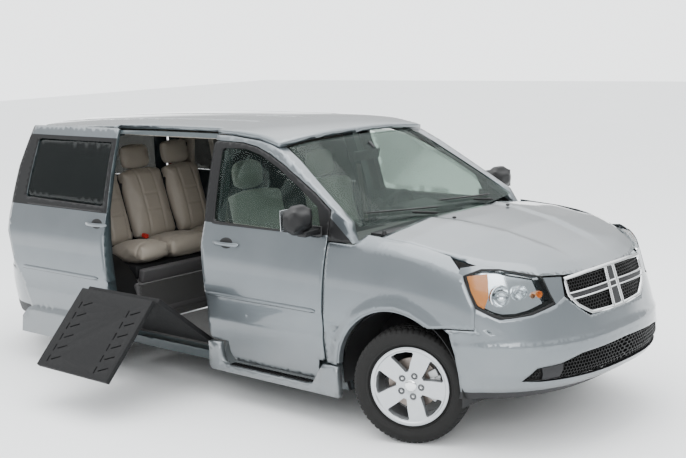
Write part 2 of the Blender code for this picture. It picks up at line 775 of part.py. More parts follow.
def nose(root):
    """The bumper with its lower grille, the upper grille and the headlights."""
    top = [(72.5, 0.745), (60.2, 0.745), (58.8, 0.868), (50, 0.808), (38, 0.823), (27, 0.864)]
    top += [(22.5, 0.90), (12.5, 0.771)]
    half = [(66.5, 0.345), (68.0, 0.40), (69.8, 0.494), (70.6, 0.608), (72.0, 0.70)] + top
    outline = half + [(-a, z) for a, z in reversed(half)]
    intake = [(46, 0.462), (40, 0.535), (30, 0.548), (20, 0.585), (0, 0.60)]
    intake += [(-a, z) for a, z in reversed(intake[:-1])] + [(-38, 0.452), (0, 0.448), (38, 0.452)]
    bumper = panel(
        "front_bumper",
        [Vector(p) for p in outline],
        *nose_faces(0, 0.03),
        holes=[[Vector(p) for p in intake]],
        step=0.14,
        scale=ANGLE_SCALE,
    )
    add("front_bumper", bumper, "paint", root)
    grille = panel("grille", grille_outline(0.004), *nose_faces(-0.004, 0.03), step=0.12, scale=ANGLE_SCALE)
    add("grille", grille, "chrome", root)
    for side, name in ((-1, "right"), (1, "left")):
        lamp = panel(
            f"headlight_{name}",
            headlight_outline(side, 0.002),
            *nose_faces(-0.002, 0.12),
            step=0.12,
            scale=ANGLE_SCALE,
            inset=0.01,
        )
        add(f"headlight_{name}", lamp, "lamp", root)


def shifted_flat(outline, gap):
    """An outline of nose angles and heights drawn in by gap."""
    stretch = Vector(ANGLE_SCALE)
    drawn = shifted([Vector(p) * stretch for p in outline], gap)
    return [Vector((p.x / stretch.x, p.y / stretch.y)) for p in drawn]


def tail_faces(out, deep):
    def outer(angle, z):
        return tail_point(angle, z, -out)

    def inner(angle, z):
        return tail_point(angle, z, deep - out)

    return outer, inner


def tail(root):
    """The rear bumper, lamps and the liftgate with its glass, hinged at the roof."""
    bumper_half = [(81, 0.30), (81, 0.50), (81, BUMPER_TOP_Z), (40, BUMPER_TOP_Z)]
    bumper = panel(
        "rear_bumper",
        [Vector(p) for p in bumper_half + [(-a, z) for a, z in reversed(bumper_half)]],
        lambda a, z: tail_point(a, z, 0),
        lambda a, z: tail_point(a, z, 0.03),
        step=0.2,
        scale=ANGLE_SCALE,
    )
    add("rear_bumper", bumper, "paint", root)
    hinge = (-WHEELBASE - 0.80, 0, 1.735)
    pivot = empty("liftgate_hinge", hinge, root)
    half = [(GATE_ANGLE, GATE_LOW_Z), (GATE_ANGLE, 0.93), (GATE_ANGLE - 6, 1.0), (GATE_ANGLE - 6, 1.30)]
    half += [(GATE_ANGLE - 3, 1.36), (GATE_ANGLE - 3, GATE_TOP_Z - 0.010), (25, GATE_TOP_Z)]
    window = [(40, 1.235), (40, 1.62), (-40, 1.62), (-40, 1.235)]
    gate = panel(
        "liftgate",
        [Vector(p) for p in half + [(-a, z) for a, z in reversed(half)]],
        *tail_faces(0, GATE_THICKNESS),
        holes=[[Vector(p) for p in window]],
        step=0.2,
        scale=ANGLE_SCALE,
    )
    on_pivot("liftgate", gate, "paint", pivot, hinge)
    glass = panel(
        "liftgate_glass",
        shifted_flat(window, 0.003),
        *tail_faces(-0.004, GLASS),
        step=0.25,
        scale=ANGLE_SCALE,
    )
    on_pivot("liftgate_glass", glass, "dark_glass", pivot, hinge)
    for side, name in ((-1, "right"), (1, "left")):
        half = [(GATE_ANGLE - 4.5, 1.005), (GATE_ANGLE - 4.5, 1.30), (LAMP_ANGLE, 1.30), (LAMP_ANGLE, 0.94)]
        half += [(GATE_ANGLE + 1.5, 0.94)]
        lamp = panel(
            f"tail_light_{name}",
            [Vector((side * a, z)) for a, z in half],
            *tail_faces(0, 0.03),
            step=0.2,
            scale=ANGLE_SCALE,
        )
        add(f"tail_light_{name}", lamp, "red_lamp", root)


def door_thickness(x, z):
    """A door is deep below its window, slim round it and a skin where it laps over the sill and the rail."""
    slim = PILLAR - 0.012
    deep = slim + (DOOR_THICKNESS - slim) * (1 - ramp_between(z, 1.0, 1.16))
    return deep if DOOR_BOTTOM_Z + 0.02 < z < DOOR_TOP_Z - 0.005 else DOOR_LIP


def doors(root):
    """The front doors on their hinges, with glass and mirrors."""
    for side, name in ((-1, "right"), (1, "left")):
        hinge = (DOOR_FRONT_X - 0.02, side * (HALF_WIDTH - 0.022), 0.75)
        pivot = empty(f"front_door_{name}_hinge", hinge, root)

        mesh = panel(
            f"front_door_{name}",
            front_door_outline(SHUT_GAP),
            *side_faces(side, side_y, door_thickness),
            holes=[front_glass_outline()],
            step=0.3,
            inset=0.012,
        )
        on_pivot(f"front_door_{name}", mesh, "paint", pivot, hinge)
        glass = panel(
            f"front_door_glass_{name}",
            shifted(front_glass_outline(), GLASS_GAP),
            *side_faces(side, side_y, GLASS, -0.006),
            step=0.3,
        )
        on_pivot(f"front_door_glass_{name}", glass, "glass", pivot, hinge)
        on_pivot(f"mirror_{name}", mirror(name, side), "black", pivot, hinge)


def mirror(name, side):
    """A rounded shell on a short arm that meets the door below its window."""
    shape = bmesh.new()
    sections = [(0.905, 0.03, 0.022, -0.60, 1.215), (0.96, 0.035, 0.028, -0.60, 1.24)]
    sections += [(0.985, 0.058, 0.078, -0.605, 1.30), (1.01, 0.068, 0.088, -0.612, 1.31)]
    sections += [(1.12, 0.066, 0.085, -0.635, 1.312), (1.165, 0.05, 0.062, -0.655, 1.308)]
    rings = []
    for y, half_x, half_z, x, z in sections:
        ring = []
        for i in range(12):
            turn = 2 * math.pi * i / 12
            across = math.copysign(abs(math.cos(turn)) ** 0.6, math.cos(turn))
            up = math.copysign(abs(math.sin(turn)) ** 0.6, math.sin(turn))
            ring.append(shape.verts.new((x + half_x * across, side * y, z + half_z * up)))
        rings.append(ring)
    for here, after in zip(rings, rings[1:]):
        for i in range(12):
            shape.faces.new((here[i], here[(i + 1) % 12], after[(i + 1) % 12], after[i]))
    shape.faces.new(rings[0])
    shape.faces.new(rings[-1])
    bmesh.ops.recalc_face_normals(shape, faces=shape.faces)
    return mesh_from(f"mirror_{name}", shape)


def sliding_skin(x, z):
    """The sliding door's face, with the add-on sill that it carries below."""
    return side_y(x, z) if z > DOOR_BOTTOM_Z + 0.002 else cladding_y(x, z)


def sliding_doors(root):
    """The sliding doors, the right one run back along the side and the left one shut."""
    for side, name, back, out in ((-1, "right", SLIDE_BACK, SLIDE_OUT), (1, "left", 0.0, 0.0)):
        mesh = panel(
            f"sliding_door_{name}",
            sliding_door_outline(SHUT_GAP),
            *side_faces(side, sliding_skin, door_thickness, out, -back),
            holes=[sliding_glass_outline()],
            step=0.3,
            inset=0.012,
        )
        add(f"sliding_door_{name}", mesh, "paint", root)
        glass = panel(
            f"sliding_door_glass_{name}",
            shifted(sliding_glass_outline(), GLASS_GAP),
            *side_faces(side, side_y, GLASS, out - 0.006, -back),
            step=0.3,
        )
        add(f"sliding_door_glass_{name}", glass, "dark_glass", root)


def cladding_y(x, z):
    """The add-on sills stand out a little and stay upright."""
    return HALF_WIDTH + 0.008 - 0.15 * (z - 0.33) ** 2


def sill_cladding(root):
    """Add-on sills below the front doors, with a step cut out of each."""
    for side, name in ((-1, "right"), (1, "left")):
        back = split_x(0.42) + SHUT_GAP
        outline = [(-0.435, SILL_Z - 0.005), (-0.435, 0.412), (-0.548, 0.412)]
        outline += [(-0.588, 0.36), (-0.643, 0.268, 0.05), (-1.44, 0.268, 0.06)]
        outline += [(-1.465, 0.412), (back, 0.412), (back, SILL_Z, 0.03)]
        mesh = panel(
            f"sill_cladding_{name}",
            rounded(outline),
            *side_faces(side, cladding_y, 0.045),
            step=0.3,
        )
        add(f"sill_cladding_{name}", mesh, "paint", root)


def cowl_face(down):
    return lambda x, y: (x, y, 1.222 - 0.02 * (y / 0.74) ** 2 - down)


def floor(root):
    """The lowered floor pan, the raised floor over the rear axle and the bulkhead in front."""
    rear = -WHEELBASE
    half = half_width(SILL_Z) - SILL_SETBACK - WALL - 0.006
    under = FLOOR_Z - FLOOR_THICKNESS
    profile = [(-0.43, FLOOR_Z), (-0.43, under), (rear + 0.47, under), (rear + 0.47, FLOOR_Z)]
    mesh = prism("floor_pan", profile, -half, half, lambda x, z, y: (x, y, z))
    add("floor_pan", mesh, "trim", root)
    half = TRACK_HALF - TYRE_WIDTH / 2 - 0.07
    riser = [(rear + 0.44, FLOOR_Z + FIT), (rear + 0.44, REAR_FLOOR_Z), (rear - 0.83, REAR_FLOOR_Z)]
    under = REAR_FLOOR_Z - FLOOR_THICKNESS
    riser += [(rear - 0.83, under), (rear + 0.41, under), (rear + 0.41, FLOOR_Z + FIT)]
    mesh = prism("rear_floor", riser, -half, half, lambda x, z, y: (x, y, z))
    add("rear_floor", mesh, "trim", root)
    wall = [(-0.385, FLOOR_Z - 0.05), (-0.385, 1.10), (-0.30, 1.185), (-0.34, 1.185), (-0.425, 1.10)]
    wall += [(-0.425, FLOOR_Z - 0.05)]
    mesh = prism("bulkhead", wall, -0.60, 0.60, lambda x, z, y: (x, y, z))
    add("bulkhead", mesh, "trim", root)
    cowl = [(HOOD_REAR_X - 0.022, -0.74), (HOOD_REAR_X - 0.022, 0.74), (-0.33, 0.74), (-0.33, -0.74)]
    mesh = panel("cowl_panel", rounded(cowl), cowl_face(0), cowl_face(0.015), step=0.2)
    add("cowl_panel", mesh, "black", root)


def dashboard(root):
    outline = [(-0.44, 0.62), (-0.44, 1.10), (-0.50, 1.16), (-0.70, 1.14), (-0.86, 1.06), (-0.90, 0.95)]
    outline += [(-0.80, 0.85), (-0.70, 0.62)]
    mesh = prism("dashboard", outline, -0.80, 0.80, lambda x, z, y: (x, y, z))
    add("dashboard", mesh, "trim", root)
    grip = 0.015
    sixths = [math.radians(60 * i) for i in range(6)]
    ring = [(0.192 + grip * math.cos(turn), grip * math.sin(turn)) for turn in sixths]
    mesh = turned("steering_wheel", ring, 20, (0, 0, 0))
    mesh.transform(Matrix.Rotation(math.pi / 2, 4, "X"))
    mesh.transform(Matrix.Rotation(math.radians(65), 4, "Y"))
    mesh.transform(Matrix.Translation((-1.06, 0.37, 1.10)))
    add("steering_wheel", mesh, "trim", root)


def seats(root):
    """Two front seats and the rear bench, each a plain solid of its cushion, back and headrest."""
    chair = [(-1.12, FLOOR_Z + FIT), (-1.12, 0.56), (-1.02, 0.56)]
    chair += [(-1.02, 0.70), (-1.10, 0.73), (-1.50, 0.68)]
    chair += [(-1.66, 1.28), (-1.70, 1.33), (-1.72, 1.52), (-1.80, 1.52), (-1.80, 1.30), (-1.72, 1.00)]
    chair += [(-1.66, 0.56), (-1.60, 0.56), (-1.60, FLOOR_Z + FIT)]
    for side, name in ((-1, "right"), (1, "left")):
        mesh = prism(f"front_seat_{name}", chair, -0.25, 0.25, lambda x, z, y, s=side: (x, y + s * 0.37, z))
        for vert in mesh.vertices:
            if vert.co.z > 1.31:
                vert.co.y = side * 0.37 + (vert.co.y - side * 0.37) * 0.52
        add(f"front_seat_{name}", mesh, "cloth", root)
    rear = -WHEELBASE
    bench = [(rear + 0.36, REAR_FLOOR_Z + FIT), (rear + 0.36, 0.85), (rear + 0.31, 0.875)]
    bench += [(rear - 0.06, 0.82), (rear - 0.26, 1.37)]
    bench += [(rear - 0.28, 1.52), (rear - 0.37, 1.52), (rear - 0.37, 1.34)]
    bench += [(rear - 0.22, REAR_FLOOR_Z + FIT)]
    mesh = prism("rear_bench", bench, -0.55, 0.60, lambda x, z, y: (x, y, z))
    add("rear_bench", mesh, "leather", root)


def running_gear(root):
    """Engine block, subframe, rear beam axle, exhaust and rails under the floor."""
    add("engine_block", block("engine_block", (-0.28, -0.38, 0.38), (0.40, 0.40, 0.96), 0.02), "steel", root)
    sub = block("front_subframe", (-0.33, -0.40, 0.265), (0.45, 0.40, 0.375), 0.01)
    add("front_subframe", sub, "steel", root)
    rear = -WHEELBASE
    end = TRACK_HALF - 0.024
    profile = [(0.0001, -end), (0.05, -end), (0.05, 0.10 - end), (0.035, 0.12 - end)]
    profile += [(r, -y) for r, y in reversed(profile)]
    beam = turned("rear_axle", profile, 12, (rear, 0, AXLE_Z))
    add("rear_axle", beam, "steel", root)
    pipe = block("exhaust", (rear - 0.95, -0.62, 0.36), (rear - 0.50, -0.30, 0.50), 0.04)
    add("exhaust", pipe, "steel", root)


def wheels(root):
    """Four road wheels. The front ones turn on knuckles that steer about upright kingpins."""
    wall = TYRE_RADIUS - RIM_RADIUS
    half = TYRE_WIDTH / 2
    tyre = [(RIM_RADIUS - 0.012, half - 0.033), (RIM_RADIUS + 0.012, half - 0.030)]
    tyre += [(RIM_RADIUS + 0.5 * wall, half), (TYRE_RADIUS - 0.024, half - 0.008)]
    tyre += [(TYRE_RADIUS - 0.007, half - 0.027), (TYRE_RADIUS, half - 0.062)]
    tyre = [(radius, -y) for radius, y in tyre] + tyre[::-1]
    rim = [(RIM_RADIUS - 0.013, -0.095), (RIM_RADIUS - 0.013, 0.084), (RIM_RADIUS - 0.001, 0.086)]
    rim += [(RIM_RADIUS - 0.002, 0.098), (RIM_RADIUS - 0.022, 0.098), (RIM_RADIUS - 0.026, 0.085)]
    rim += [(0.075, 0.062), (0.0625, 0.070), (0.0001, 0.070)]
    rim += [(0.0001, -0.018), (0.085, -0.018), (0.10, 0.0), (0.195, 0.018), (0.204, -0.095)]
    for end, x in (("front", 0.0), ("rear", -WHEELBASE)):
        for side, name in ((-1, "right"), (1, "left")):
            spot = Vector((x, side * TRACK_HALF, AXLE_Z))
            if end == "front":
                kingpin = (x, side * KINGPIN_Y, AXLE_Z)
                steer = empty(f"kingpin_{name}", kingpin, root)
                steer.rotation_euler = (0, 0, STEER)
                stub = block(f"knuckle_{name}", (-0.05, -0.045, -0.10), (0.05, 0.045, 0.13), 0.012)
                hang(f"knuckle_{name}", stub, "steel", steer)
                hub = empty(f"wheel_{end}_{name}_axis", (0, side * (TRACK_HALF - KINGPIN_Y), 0), steer)
            else:
                hub = empty(f"wheel_{end}_{name}_axis", spot, root)
            for piece, profile, steps, finish in (("tyre", tyre, 36, "rubber"), ("wheel", rim, 30, "alloy")):
                mesh = turned(f"{piece}_{end}_{name}", profile, steps, (0, 0, 0), side)
                hang(f"{piece}_{end}_{name}", mesh, finish, hub)


def ramp(root):
    """Two panels. The inner one rises from the floor to the ridge and the outer one hangs from it.

    The hinge between them lies just under both, so that the undersides can fold together."""
    middle_x = RAMP_FRONT_X - RAMP_WIDTH / 2
    hinge = Vector((middle_x, -RAMP_HINGE_Y, RAMP_HINGE_Z))
    inner = empty("ramp_inner_hinge", hinge, root)
    inner.rotation_euler = (-RAMP_INNER_ANGLE, 0, 0)
    half = RAMP_WIDTH / 2
    top = RAMP_THICKNESS / 2
    mesh = block("ramp_inner_panel", (-half, 0.012 - RAMP_PANEL, -top), (half, -0.012, top))
    hang("ramp_inner_panel", mesh, "ramp", inner)
    ridge = empty("ramp_outer_hinge", (0, -RAMP_PANEL, -top - RAMP_HINGE_DROP), inner)
    ridge.rotation_euler = (RAMP_INNER_ANGLE - RAMP_OUTER_ANGLE, 0, 0)
    above = RAMP_HINGE_DROP + RAMP_THICKNESS
    mesh = block("ramp_outer_panel", (-half, -RAMP_OUTER_PANEL, RAMP_HINGE_DROP), (half, -0.006, above))
    hang("ramp_outer_panel", mesh, "ramp", ridge)


for old in list(bpy.data.objects):
    bpy.data.objects.remove(old)

length = WHEELBASE + FRONT_OVERHANG + REAR_OVERHANG
vehicle = empty("vehicle", (length / 2 - FRONT_OVERHANG, CENTRE_Y, TYRE_RADIUS - AXLE_Z))
body_sides(vehicle)
roof(vehicle)
windscreen(vehicle)
fenders(vehicle)
hood(vehicle)
nose(vehicle)
tail(vehicle)
doors(vehicle)
sliding_doors(vehicle)
sill_cladding(vehicle)
floor(vehicle)
dashboard(vehicle)
seats(vehicle)
running_gear(vehicle)
wheels(vehicle)
ramp(vehicle)
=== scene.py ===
import json
import math

import bmesh
import bpy
from mathutils import Matrix, Vector


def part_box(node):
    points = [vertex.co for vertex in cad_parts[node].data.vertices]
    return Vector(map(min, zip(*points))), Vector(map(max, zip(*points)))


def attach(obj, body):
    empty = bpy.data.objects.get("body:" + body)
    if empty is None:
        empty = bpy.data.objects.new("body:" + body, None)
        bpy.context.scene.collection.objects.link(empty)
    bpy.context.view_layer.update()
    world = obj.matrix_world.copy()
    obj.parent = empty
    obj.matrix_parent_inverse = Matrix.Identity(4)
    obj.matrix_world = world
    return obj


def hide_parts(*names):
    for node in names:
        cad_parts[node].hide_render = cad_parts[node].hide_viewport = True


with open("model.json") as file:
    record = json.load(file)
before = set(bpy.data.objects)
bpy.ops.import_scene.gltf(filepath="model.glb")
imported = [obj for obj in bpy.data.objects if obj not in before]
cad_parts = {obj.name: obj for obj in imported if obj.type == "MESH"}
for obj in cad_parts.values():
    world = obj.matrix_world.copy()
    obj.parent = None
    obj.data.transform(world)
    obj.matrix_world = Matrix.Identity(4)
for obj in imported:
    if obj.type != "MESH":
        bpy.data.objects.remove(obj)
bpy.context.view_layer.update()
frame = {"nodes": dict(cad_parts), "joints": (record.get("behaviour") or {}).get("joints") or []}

bpy.ops.object.select_all(action="DESELECT")

# ------------------------------------------------------------------ body paint
# Painted sheet steel: a silver-blue metallic base under clear lacquer, slightly dusty low down. This section
# also holds the way that every finish here is mixed: shader values as sums and products.


class Wire:
    """A value inside a material. Sums, products and differences of it become Math nodes."""

    def __init__(self, finish, socket):
        self.finish = finish
        self.socket = socket

    def math(self, operation, *values):
        return self.finish.node("ShaderNodeMath", {"operation": operation}, dict(enumerate(values)))

    def __add__(self, other):
        return self.math("ADD", self, other)

    def __mul__(self, other):
        return self.math("MULTIPLY", self, other)

    def __sub__(self, other):
        return self.math("SUBTRACT", self, other)

    def __rsub__(self, other):
        return self.math("SUBTRACT", other, self)

    def smooth(self, low, high):
        """0 below low and 1 above high, smooth between."""
        span = {"interpolation_type": "SMOOTHSTEP"}
        return self.finish.node("ShaderNodeMapRange", span, {0: self, 1: low, 2: high, 3: 0.0, 4: 1.0})


class Finish:
    """One material of this vehicle."""

    def __init__(self, name, **fixed):
        self.material = bpy.data.materials.new(name)
        self.material.use_nodes = True
        self.tree = self.material.node_tree
        self.shader = self.tree.nodes["Principled BSDF"]
        self.feed(**fixed)
        self.place = self.node("ShaderNodeTexCoord", out="Object")

    def node(self, kind, settings=None, sockets=None, out=0):
        made = self.tree.nodes.new(kind)
        for key, value in (settings or {}).items():
            setattr(made, key, value)
        for key, value in (sockets or {}).items():
            self.plug(made.inputs[key], value)
        return Wire(self, made.outputs[out])

    def plug(self, socket, value):
        if isinstance(value, Wire):
            self.tree.links.new(value.socket, socket)
        elif isinstance(value, tuple) and len(value) == 3 and socket.type == "RGBA":
            socket.default_value = (*value, 1)
        else:
            socket.default_value = value

    def feed(self, **sockets):
        """Sets or links the shader's sockets; an underscore stands for a space."""
        for key, value in sockets.items():
            self.plug(self.shader.inputs[key.replace("_", " ")], value)

    def noise(self, scale, detail):
        return self.node("ShaderNodeTexNoise", {}, {"Vector": self.place, "Scale": scale, "Detail": detail})

    def along(self, axis):
        return self.node("ShaderNodeSeparateXYZ", {}, {0: self.place}, axis)

    def blend(self, share, low, high):
        return self.node("ShaderNodeMix", {"data_type": "RGBA"}, {0: share, 6: low, 7: high}, 2)

    def emboss(self, height, distance, strength=0.6):
        bump = {"Height": height, "Distance": distance, "Strength": strength}
        self.feed(Normal=self.node("ShaderNodeBump", {}, bump))

    def mottled(self, low, high, scale, rough, grain, depth):
        """Uneven colour and gloss in soft patches, over a fine grain."""
        patch = self.noise(scale, 4)
        fine = self.noise(grain, 2)
        self.feed(Base_Color=self.blend(patch * 0.6 + fine * 0.4, low, high))
        self.feed(Roughness=patch * (rough[1] - rough[0]) + rough[0])
        self.emboss(fine, depth)
        return self


PAINT = Finish("body_paint", Coat_Weight=1.0, Coat_Roughness=0.04)
flakes = PAINT.noise(900, 1) * 0.5 + PAINT.noise(4, 3) * 0.5
dust = 1 - PAINT.along("Z").smooth(0.15, 0.75)
clean = PAINT.blend(flakes, (0.112, 0.130, 0.142), (0.176, 0.198, 0.214))
PAINT.feed(Base_Color=PAINT.blend(dust * PAINT.noise(9, 5) * 0.55, clean, (0.20, 0.20, 0.195)))
PAINT.feed(Metallic=0.80 - dust * 0.25, Roughness=flakes * 0.10 + dust * 0.14 + 0.25)
PAINT.emboss(PAINT.noise(260, 1), 0.0004, 0.12)

# ---------------------------------------------------------------- body shape
# The pressed shape of the body: how its skins curve, lean and round in towards nose and tail. Lengths run
# from the front axle, half-widths from the middle, heights from a little below the tyres' feet.

WHEELBASE = 3.078
AXLE_Z = 0.362
rear_low, rear_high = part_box("wheel_rear_right")
far_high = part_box("wheel_rear_left")[1]
ORIGIN = Vector(
    (
        (rear_low[0] + rear_high[0]) / 2 + WHEELBASE,
        (rear_low[1] + far_high[1]) / 2,
        (rear_low[2] + rear_high[2]) / 2 - AXLE_Z,
    )
)
BELT_Z = 1.17
TAIL_START = -WHEELBASE - 0.222
NOSE = [(0.34, 0.80), (0.39, 0.885), (0.44, 0.94), (0.50, 0.965), (0.62, 0.955), (0.776, 0.905)]
NOSE += [(1.01, 0.835), (1.30, 0.70)]
TAIL = [(0.20, 1.06), (0.35, 1.10), (0.55, 1.108), (0.68, 1.095), (0.74, 1.045), (1.15, 1.02)]
TAIL += [(1.45, 0.94), (1.83, 0.79)]
NOSE_POWER = 2.6
TAIL_POWER = 3.5


def ramp_between(value, low, high):
    """0 below low, 1 above high and smooth between."""
    share = min(1, max(0, (value - low) / (high - low)))
    return share * share * (3 - 2 * share)


def read_line(points, at):
    """The height at that place of a line through points, straight between them."""
    for (x0, y0), (x1, y1) in zip(points, points[1:]):
        if at <= x1:
            return y0 + (y1 - y0) * max(0, at - x0) / (x1 - x0)
    return points[-1][1]


def half_width(z):
    if z < BELT_Z:
        return 0.965 - 0.31 * (z - 0.68) ** 2
    rise = z - BELT_Z
    return 0.965 - 0.31 * 0.49**2 - 0.22 * rise - 0.148 * rise**2


def side_y(x, z):
    """Half the width at any station."""
    width = half_width(z) - 0.004 * (x + 1.8) ** 2 * ramp_between(z, 0.9, 1.3)
    if x > 0:
        share = min(0.995, x / read_line(NOSE, z))
        return width * (1 - share**NOSE_POWER) ** (1 / NOSE_POWER)
    if x < TAIL_START:
        share = min(0.995, (TAIL_START - x) / (WHEELBASE + read_line(TAIL, z) + TAIL_START))
        return width * (1 - share**TAIL_POWER) ** (1 / TAIL_POWER)
    return width


def nose_point(angle, z, out=0.0):
    """A point of the nose: angle 0 is its middle and 90 is the side."""
    turn = math.radians(angle)
    x = (read_line(NOSE, z) + out) * abs(math.cos(turn)) ** (2 / NOSE_POWER)
    y = (half_width(z) + out) * abs(math.sin(turn)) ** (2 / NOSE_POWER)
    return Vector((x, math.copysign(y, turn), z))


def tail_point(angle, z, out=0.0):
    """A point of the tail, by the same angle."""
    turn = math.radians(angle)
    reach = WHEELBASE + read_line(TAIL, z) + TAIL_START + out
    width = half_width(z) - 0.004 * (TAIL_START + 1.8) ** 2 * ramp_between(z, 0.9, 1.3) + out
    x = TAIL_START - reach * abs(math.cos(turn)) ** (2 / TAIL_POWER)
    y = width * abs(math.sin(turn)) ** (2 / TAIL_POWER)
    return Vector((x, math.copysign(y, turn), z))


def roof_z(x, y):
    front = 0.20 * (max(0.0, x + 2.10) / 1.28) ** 5
    rear = 0.08 * (max(0.0, -2.10 - x) / 2.086) ** 2
    return 1.81 - front - rear - 0.035 * (abs(y) / 0.70) ** 2.6


def screen_x(y, z):
    return -0.243 - 1.71 * (z - 1.238) - 0.16 * y * y


HOOD = [(-0.30, 1.262), (0.0, 1.245), (0.30, 1.197), (0.60, 1.112), (0.86, 1.004)]


def hood_z(x, y):
    return read_line(HOOD, x) - 0.055 * (abs(y) / 0.78) ** 2.2


def fender_y(x, z):
    """The fender rolls over inwards above its shoulder."""
    shoulder = read_line([(-0.33, 1.150), (0.0, 1.128), (0.22, 1.100), (0.45, 1.028)], x)
    over = max(0.0, z - shoulder)
    return side_y(x, z - over) - 0.9 * over - 6 * over * over


def split_x(z):
    """The edge between the front and the sliding door."""
    points = [(0.30, 0.035), (0.60, 0.025), (0.72, 0.015), (0.88, -0.015), (1.03, -0.045)]
    return -1.60 + read_line(points + [(1.20, -0.042), (1.70, -0.068)], z)


def cladding_y(x, z):
    return 0.973 - 0.15 * (z - 0.33) ** 2


def arch_flare(x, z, axle):
    """How far the rim of a wheel's arch stands out of the plain side."""
    return 0.013 * (1 - ramp_between(math.hypot(x - axle, z - AXLE_Z), 0.462, 0.53))


def pressed(x, z):
    """How far the arches' rims, the low crease and the moulding's flat stand out of the plain side."""
    proud = 0.0
    for axle in (0.0, -WHEELBASE):
        if z > AXLE_Z - 0.02:
            proud += arch_flare(x, z, axle)
    scallop = min(1, max(0, (z - 0.575) / 0.155))
    return proud - 0.0075 * math.sin(math.pi * scallop) ** 0.8 * ramp_between(x, -3.9, -3.6)


# --------------------------------------------------------------- body panels
# Fenders, doors, sides, roof, hood, gate and bumpers: pressed skins about a millimetre thick on inner frames.
# Each is cut along its creases, divided finely and laid again on the pressed shape.


def seat(piece, body, slot, *nodes):
    """Moves a piece from the front axle's measures to its place on the vehicle and fixes it to a body."""
    piece.data.transform(Matrix.Translation(ORIGIN))
    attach(piece, body)
    if nodes:
        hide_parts(*nodes)
    return piece


def made(name, shape, finishes, smooth=35):
    """A piece from a bmesh, with its finishes, smooth but for edges sharper than that many degrees."""
    mesh = bpy.data.meshes.new(name)
    shape.to_mesh(mesh)
    shape.free()
    piece = bpy.data.objects.new(name, mesh)
    bpy.context.scene.collection.objects.link(piece)
    for finish in finishes if isinstance(finishes, (list, tuple)) else [finishes]:
        mesh.materials.append(finish.material)
    mesh.shade_smooth()
    mesh.set_sharp_from_angle(angle=math.radians(smooth))
    return piece


def lofted(name, rings, finishes, smooth, closed=False):
    """A piece skinned over rings of points, with both ends capped unless it closes on itself."""
    shape = bmesh.new()
    loops = [[shape.verts.new(p) for p in ring] for ring in rings]
    for here, after in list(zip(loops, loops[1:])) + ([(loops[-1], loops[0])] if closed else []):
        for k in range(len(here)):
            j = (k + 1) % len(here)
            shape.faces.new((here[k], here[j], after[j], after[k]))
    if not closed:
        shape.faces.new(loops[0])
        shape.faces.new(loops[-1][::-1])
    bmesh.ops.recalc_face_normals(shape, faces=shape.faces)
    return made(name, shape, finishes, smooth)


def copied(node):
    """A node's mesh, merged and measured from the front axle."""
    shape = bmesh.new()
    shape.from_mesh(frame["nodes"][node].data)
    bmesh.ops.remove_doubles(shape, verts=shape.verts, dist=1e-5)
    bmesh.ops.translate(shape, verts=shape.verts, vec=-ORIGIN)
    return shape


def divided(shape, longest, rounds, counts):
    """Halves the edges that count for as long as one is too long, in that many rounds at most."""
    for _ in range(rounds):
        long = [e for e in shape.edges if counts(e) and e.calc_length() > longest]
        if not long:
            return
        bmesh.ops.subdivide_edges(shape, edges=long, cuts=1)
        bmesh.ops.triangulate(shape, faces=[f for f in shape.faces if len(f.verts) > 3])


def skin(name, node, body, slot, finishes, surface, choose=None, lines=(), longest=0.045):
    """A fine panel in a node's place.

    surface(point) gives the point's place on the outer skin, and how far the point is from it. choose gives
    a face's finish from its middle and whether it is outside. lines are planes to cut along first."""
    shape = copied(node)
    outer = shape.verts.layers.float.new("outer")
    for vert in shape.verts:
        vert[outer] = float(abs(surface(vert.co)[1]) < 0.0008)
    for point, normal in lines:
        everything = shape.verts[:] + shape.edges[:] + shape.faces[:]
        bmesh.ops.bisect_plane(shape, geom=everything, dist=1e-5, plane_co=point, plane_no=normal)
    divided(shape, longest, 5, lambda e: e.verts[0][outer] > 0.99 or e.verts[1][outer] > 0.99)
    for vert in shape.verts:
        if vert[outer] > 0.999:
            vert.co = surface(vert.co)[0]
    if choose:
        for face in shape.faces:
            outside = all(v[outer] > 0.999 for v in face.verts)
            face.material_index = choose(face.calc_center_median(), outside)
    return seat(made(name, shape, finishes), body, slot, node)


def on_side(width, out=0.0, back=0.0, features=pressed):
    """The outer skin of a side panel that stands out by that much and is run back by that much."""

    def surface(p):
        x = p.x + back
        base = width(x, p.z)
        if base is None:
            return p, 0.0 if abs(p.y) > 0.8 else 1.0
        gap = abs(p.y) - base - out
        return Vector((p.x, math.copysign(base + out + features(x, p.z), p.y), p.z)), gap

    return surface


def on_nose(out):
    def surface(p):
        reach, width = read_line(NOSE, p.z) + out, half_width(p.z) + out
        along, across = max(0, p.x / reach), abs(p.y) / width
        angle = math.degrees(math.atan2(across ** (NOSE_POWER / 2), along ** (NOSE_POWER / 2)))
        place = nose_point(math.copysign(angle, p.y), p.z, out)
        return place, (p - place).length

    return surface


def on_tail(out):
    def surface(p):
        reach = WHEELBASE + read_line(TAIL, p.z) + TAIL_START + out
        width = tail_point(90, p.z, out).y
        along, across = max(0, (TAIL_START - p.x) / reach), abs(p.y) / width
        angle = math.degrees(math.atan2(across ** (TAIL_POWER / 2), along ** (TAIL_POWER / 2)))
        place = tail_point(math.copysign(angle, p.y), p.z, out)
        return place, (p - place).length

    return surface


def level(z):
    return ((0, 0, z), (0, 0, 1))


